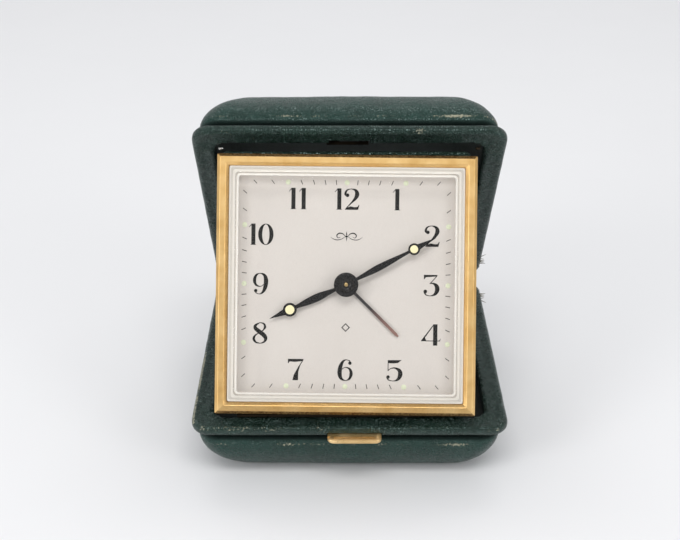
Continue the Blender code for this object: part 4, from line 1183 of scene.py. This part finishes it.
def make_back():
    """The can over the movement: rolled edges, a raised panel, and holes for what stands out of it."""
    half, wall, roll = 30.0, 0.6, 1.4
    back, mouth = -8.0, 1.4
    floor = back + wall
    profile = [(half, mouth, 3.2)]
    for i in range(7):
        turn = math.radians(90 * i / 6)
        profile.append((half - roll * (1 - math.cos(turn)), back + roll * (1 - math.sin(turn)), 3.2))
    profile += [(half - 4.0, back, 2.6), (half - 4.3, back + 0.18, 2.6), (half - 9.0, back + 0.18, 2.6)]
    inside = half - wall
    inner = [(inside - 1.2, floor + 0.05, 2.6), (inside, floor + 1.2, 2.6), (inside, mouth, 2.6)]
    rings = [face_ring(size, w, corner, 8, 6) for size, w, corner in inner + profile]
    low, high = back - 1, floor + 1.0
    holes = [(in_clock("time_key_turn"), 1.6), (in_clock("alarm_key_turn"), 1.6), (CENTRE, 1.1)]
    holes += [(in_clock("alarm_set_spin"), 1.1), (STOP_BUTTON, 1.35)]
    cuts = [turned(centre, [(radius, low), (radius, high)], 32) for centre, radius in holes]
    balance = in_clock("balance_swing")
    slot = [polar(balance, 8.1, 218 + 4 * i) for i in range(17)]
    slot += [polar(balance, 6.3, 282 - 4 * i) for i in range(17)]
    cuts.append(loft([[(x, y, w) for x, y in slot] for w in (low, high)]))
    corner = 25.8
    for x, v in ((-corner, corner), (corner, -corner)):
        cuts.append(turned((x, FACE_V + v), [(0.8, low), (0.8, high)], 24))
    add_piece(
        "movement_can", loft(rings), CLOCK, PAINTS["steel"], "clock", ["movement_case"], 25,
        cut=cuts,
    )


def winged_key(word):
    """A flat key with two rounded wings that are thinner than its hub, on its arbor."""
    centre = x, v = in_clock(word + "_key_turn")
    wing = [(2.2, 0.42), (3.4, 0.6), (5.2, 0.6), (5.6, 0.35)]
    edge = [(-a, b) for a, b in reversed(wing)] + wing
    outline = edge + [(a, -b) for a, b in reversed(edge)]
    levels = ((0.97, KEY_BACK), (1.0, KEY_BACK + 0.15), (1.0, KEY_FRONT - 0.5), (0.98, KEY_FRONT - 0.35))
    blade = loft([[(x + a * size, v + b * size, w) for a, b in outline] for size, w in levels])
    hub = [(1.6, KEY_BACK), (1.9, KEY_BACK + 0.2), (1.9, KEY_FRONT - 0.2), (1.6, KEY_FRONT)]
    shaft = [(1.0, KEY_BACK + 0.5), (1.0, 0.1)]
    add_piece(
        word + "_key_wings", blade, CLOCK, PAINTS["gold"], word + "_key", [word + "_winding_key"], 30,
        fuse=[turned(centre, hub, 40), turned(centre, shaft, 24)],
    )


def knurled_knob(node, body, centre, radius):
    """A setting knob with fine ridges and a dished end."""
    ridges, height = 32, 0.12
    levels = [(0.35, KEY_BACK + 0.3), (0.62, KEY_BACK + 0.25), (0.78, KEY_BACK), (0.94, KEY_BACK)]
    levels += [(1.0, KEY_BACK + 0.2), (1.0, KEY_FRONT - 0.2), (0.93, KEY_FRONT)]
    rings = []
    for size, w in levels:
        ring = []
        for i in range(4 * ridges):
            ridge = height * math.cos(math.tau * i / 4) if size == 1.0 else 0.0
            ring.append((*polar(centre, radius * size + ridge, 90 * i / ridges), w))
        rings.append(ring)
    add_piece(node + "_knurled", loft(rings), CLOCK, PAINTS["gold"], body, [node], 30)


def make_controls():
    for word in ("time", "alarm"):
        winged_key(word)
    knurled_knob("time_set_knob", "minute", CENTRE, 3.4)
    knurled_knob("alarm_set_knob", "alarm_set", in_clock("alarm_set_spin"), 2.8)
    profile = [(0.3, -10.7), (1.1, -10.62), (1.5, -10.4), (1.6, -10.1)]
    profile += [(1.6, -9.85), (1.5, -9.78), (1.0, -9.75), (1.0, -5.6)]
    add_piece(
        "stop_button_domed", turned(STOP_BUTTON, profile, 40), CLOCK, PAINTS["gold"], "alarm_stop",
        ["alarm_stop_button"], 30,
    )


# Painted shade: the clock's hinge parts and the case's frames and shells are painted nearly black, as the shade
# they lie in.
REPAINTED = dict.fromkeys(("clock_hinge_leaf", "clock_hinge_bracket", "clock_hinge_pin"), "painted_shade_brass")
REPAINTED.update(dict.fromkeys(("base_frame", "lid_frame", "base_shell", "lid_shell"), "dark_steel"))


def paint_cad_nodes():
    """Every CAD node that still shows takes its slot's material, or the one that REPAINTED gives it."""
    for part in frame["record"]["subparts"]:
        node = frame["nodes"][part["node"]]
        slot = part["material_slot"]
        paint = PAINTS[REPAINTED.get(part["node"], "black" if slot == "hands" else slot)]
        if not node.material_slots:
            node.data.materials.append(paint)
        for place in node.material_slots:
            place.material = paint


# The stage.


def make_floor():
    size = 3.0
    data = bpy.data.meshes.new("floor")
    data.from_pydata([(x, y, 0) for x, y in rectangle(-size, size, -size, size)], [], [(0, 1, 2, 3)])
    data.materials.append(floor_paint())
    floor = bpy.data.objects.new("floor", data)
    bpy.context.scene.collection.objects.link(floor)


def add_light(name, place, target, size, power):
    data = bpy.data.lights.new(name, "AREA")
    data.shape = "RECTANGLE"
    data.size, data.size_y = size
    data.energy = power
    light = bpy.data.objects.new(name, data)
    bpy.context.scene.collection.objects.link(light)
    light.location = place
    light.rotation_euler = (Vector(target) - Vector(place)).to_track_quat("-Z", "Y").to_euler()


def make_light():
    world = bpy.data.worlds.new("studio")
    bpy.context.scene.world = world
    world.use_nodes = True
    background = world.node_tree.nodes["Background"]
    background.inputs["Color"].default_value = (0.97, 0.98, 1.0, 1.0)
    background.inputs["Strength"].default_value = 0.545
    middle = (0, 0, 0.04)
    add_light("rear", (0.0, 1.3, 0.4), middle, (1.6, 0.35), 1.1)
    add_light("over", (0.0, 0.5, 0.85), middle, (0.9, 0.2), 1.6)
    add_light("front", (0.0, -0.5, 0.95), (0, -0.2, 0), (0.7, 0.3), 4.0)
    for word, side, power in (("left", -1, 3.7), ("right", 1, 2.3)):
        add_light(word, (0.85 * side, -0.7, 0.5), (0, -0.1, 0.02), (0.4, 0.5), power)
    bpy.context.scene.view_settings.view_transform = "Standard"


def make_camera():
    """Looks along the dial's axis, at the mouth of the case."""
    data = bpy.data.cameras.new("camera")
    data.lens = 62.3
    data.sensor_width = 36
    camera = bpy.data.objects.new("camera", data)
    bpy.context.scene.collection.objects.link(camera)
    aside, above, away = -0.00245, 0.0026, 0.297
    mouth = Vector((0, -0.02197, HINGE.z + 0.03295))
    place = Matrix((RIGHT, UP, OUT)).transposed().to_4x4()
    place.translation = mouth + RIGHT * aside + UP * above + OUT * away
    camera.matrix_world = place
    bpy.context.scene.camera = camera


def main():
    make_camera()
    paint_cad_nodes()
    make_half("base", BASE, False)
    make_half("lid", LID, True)
    make_latch()
    make_latch_spring()
    make_hinge()
    make_fray()
    make_rest_pins()
    make_catch()
    make_surround()
    make_bezel()
    make_crystal()
    make_dial()
    make_hands()
    make_back()
    make_controls()
    make_floor()
    make_light()


main()
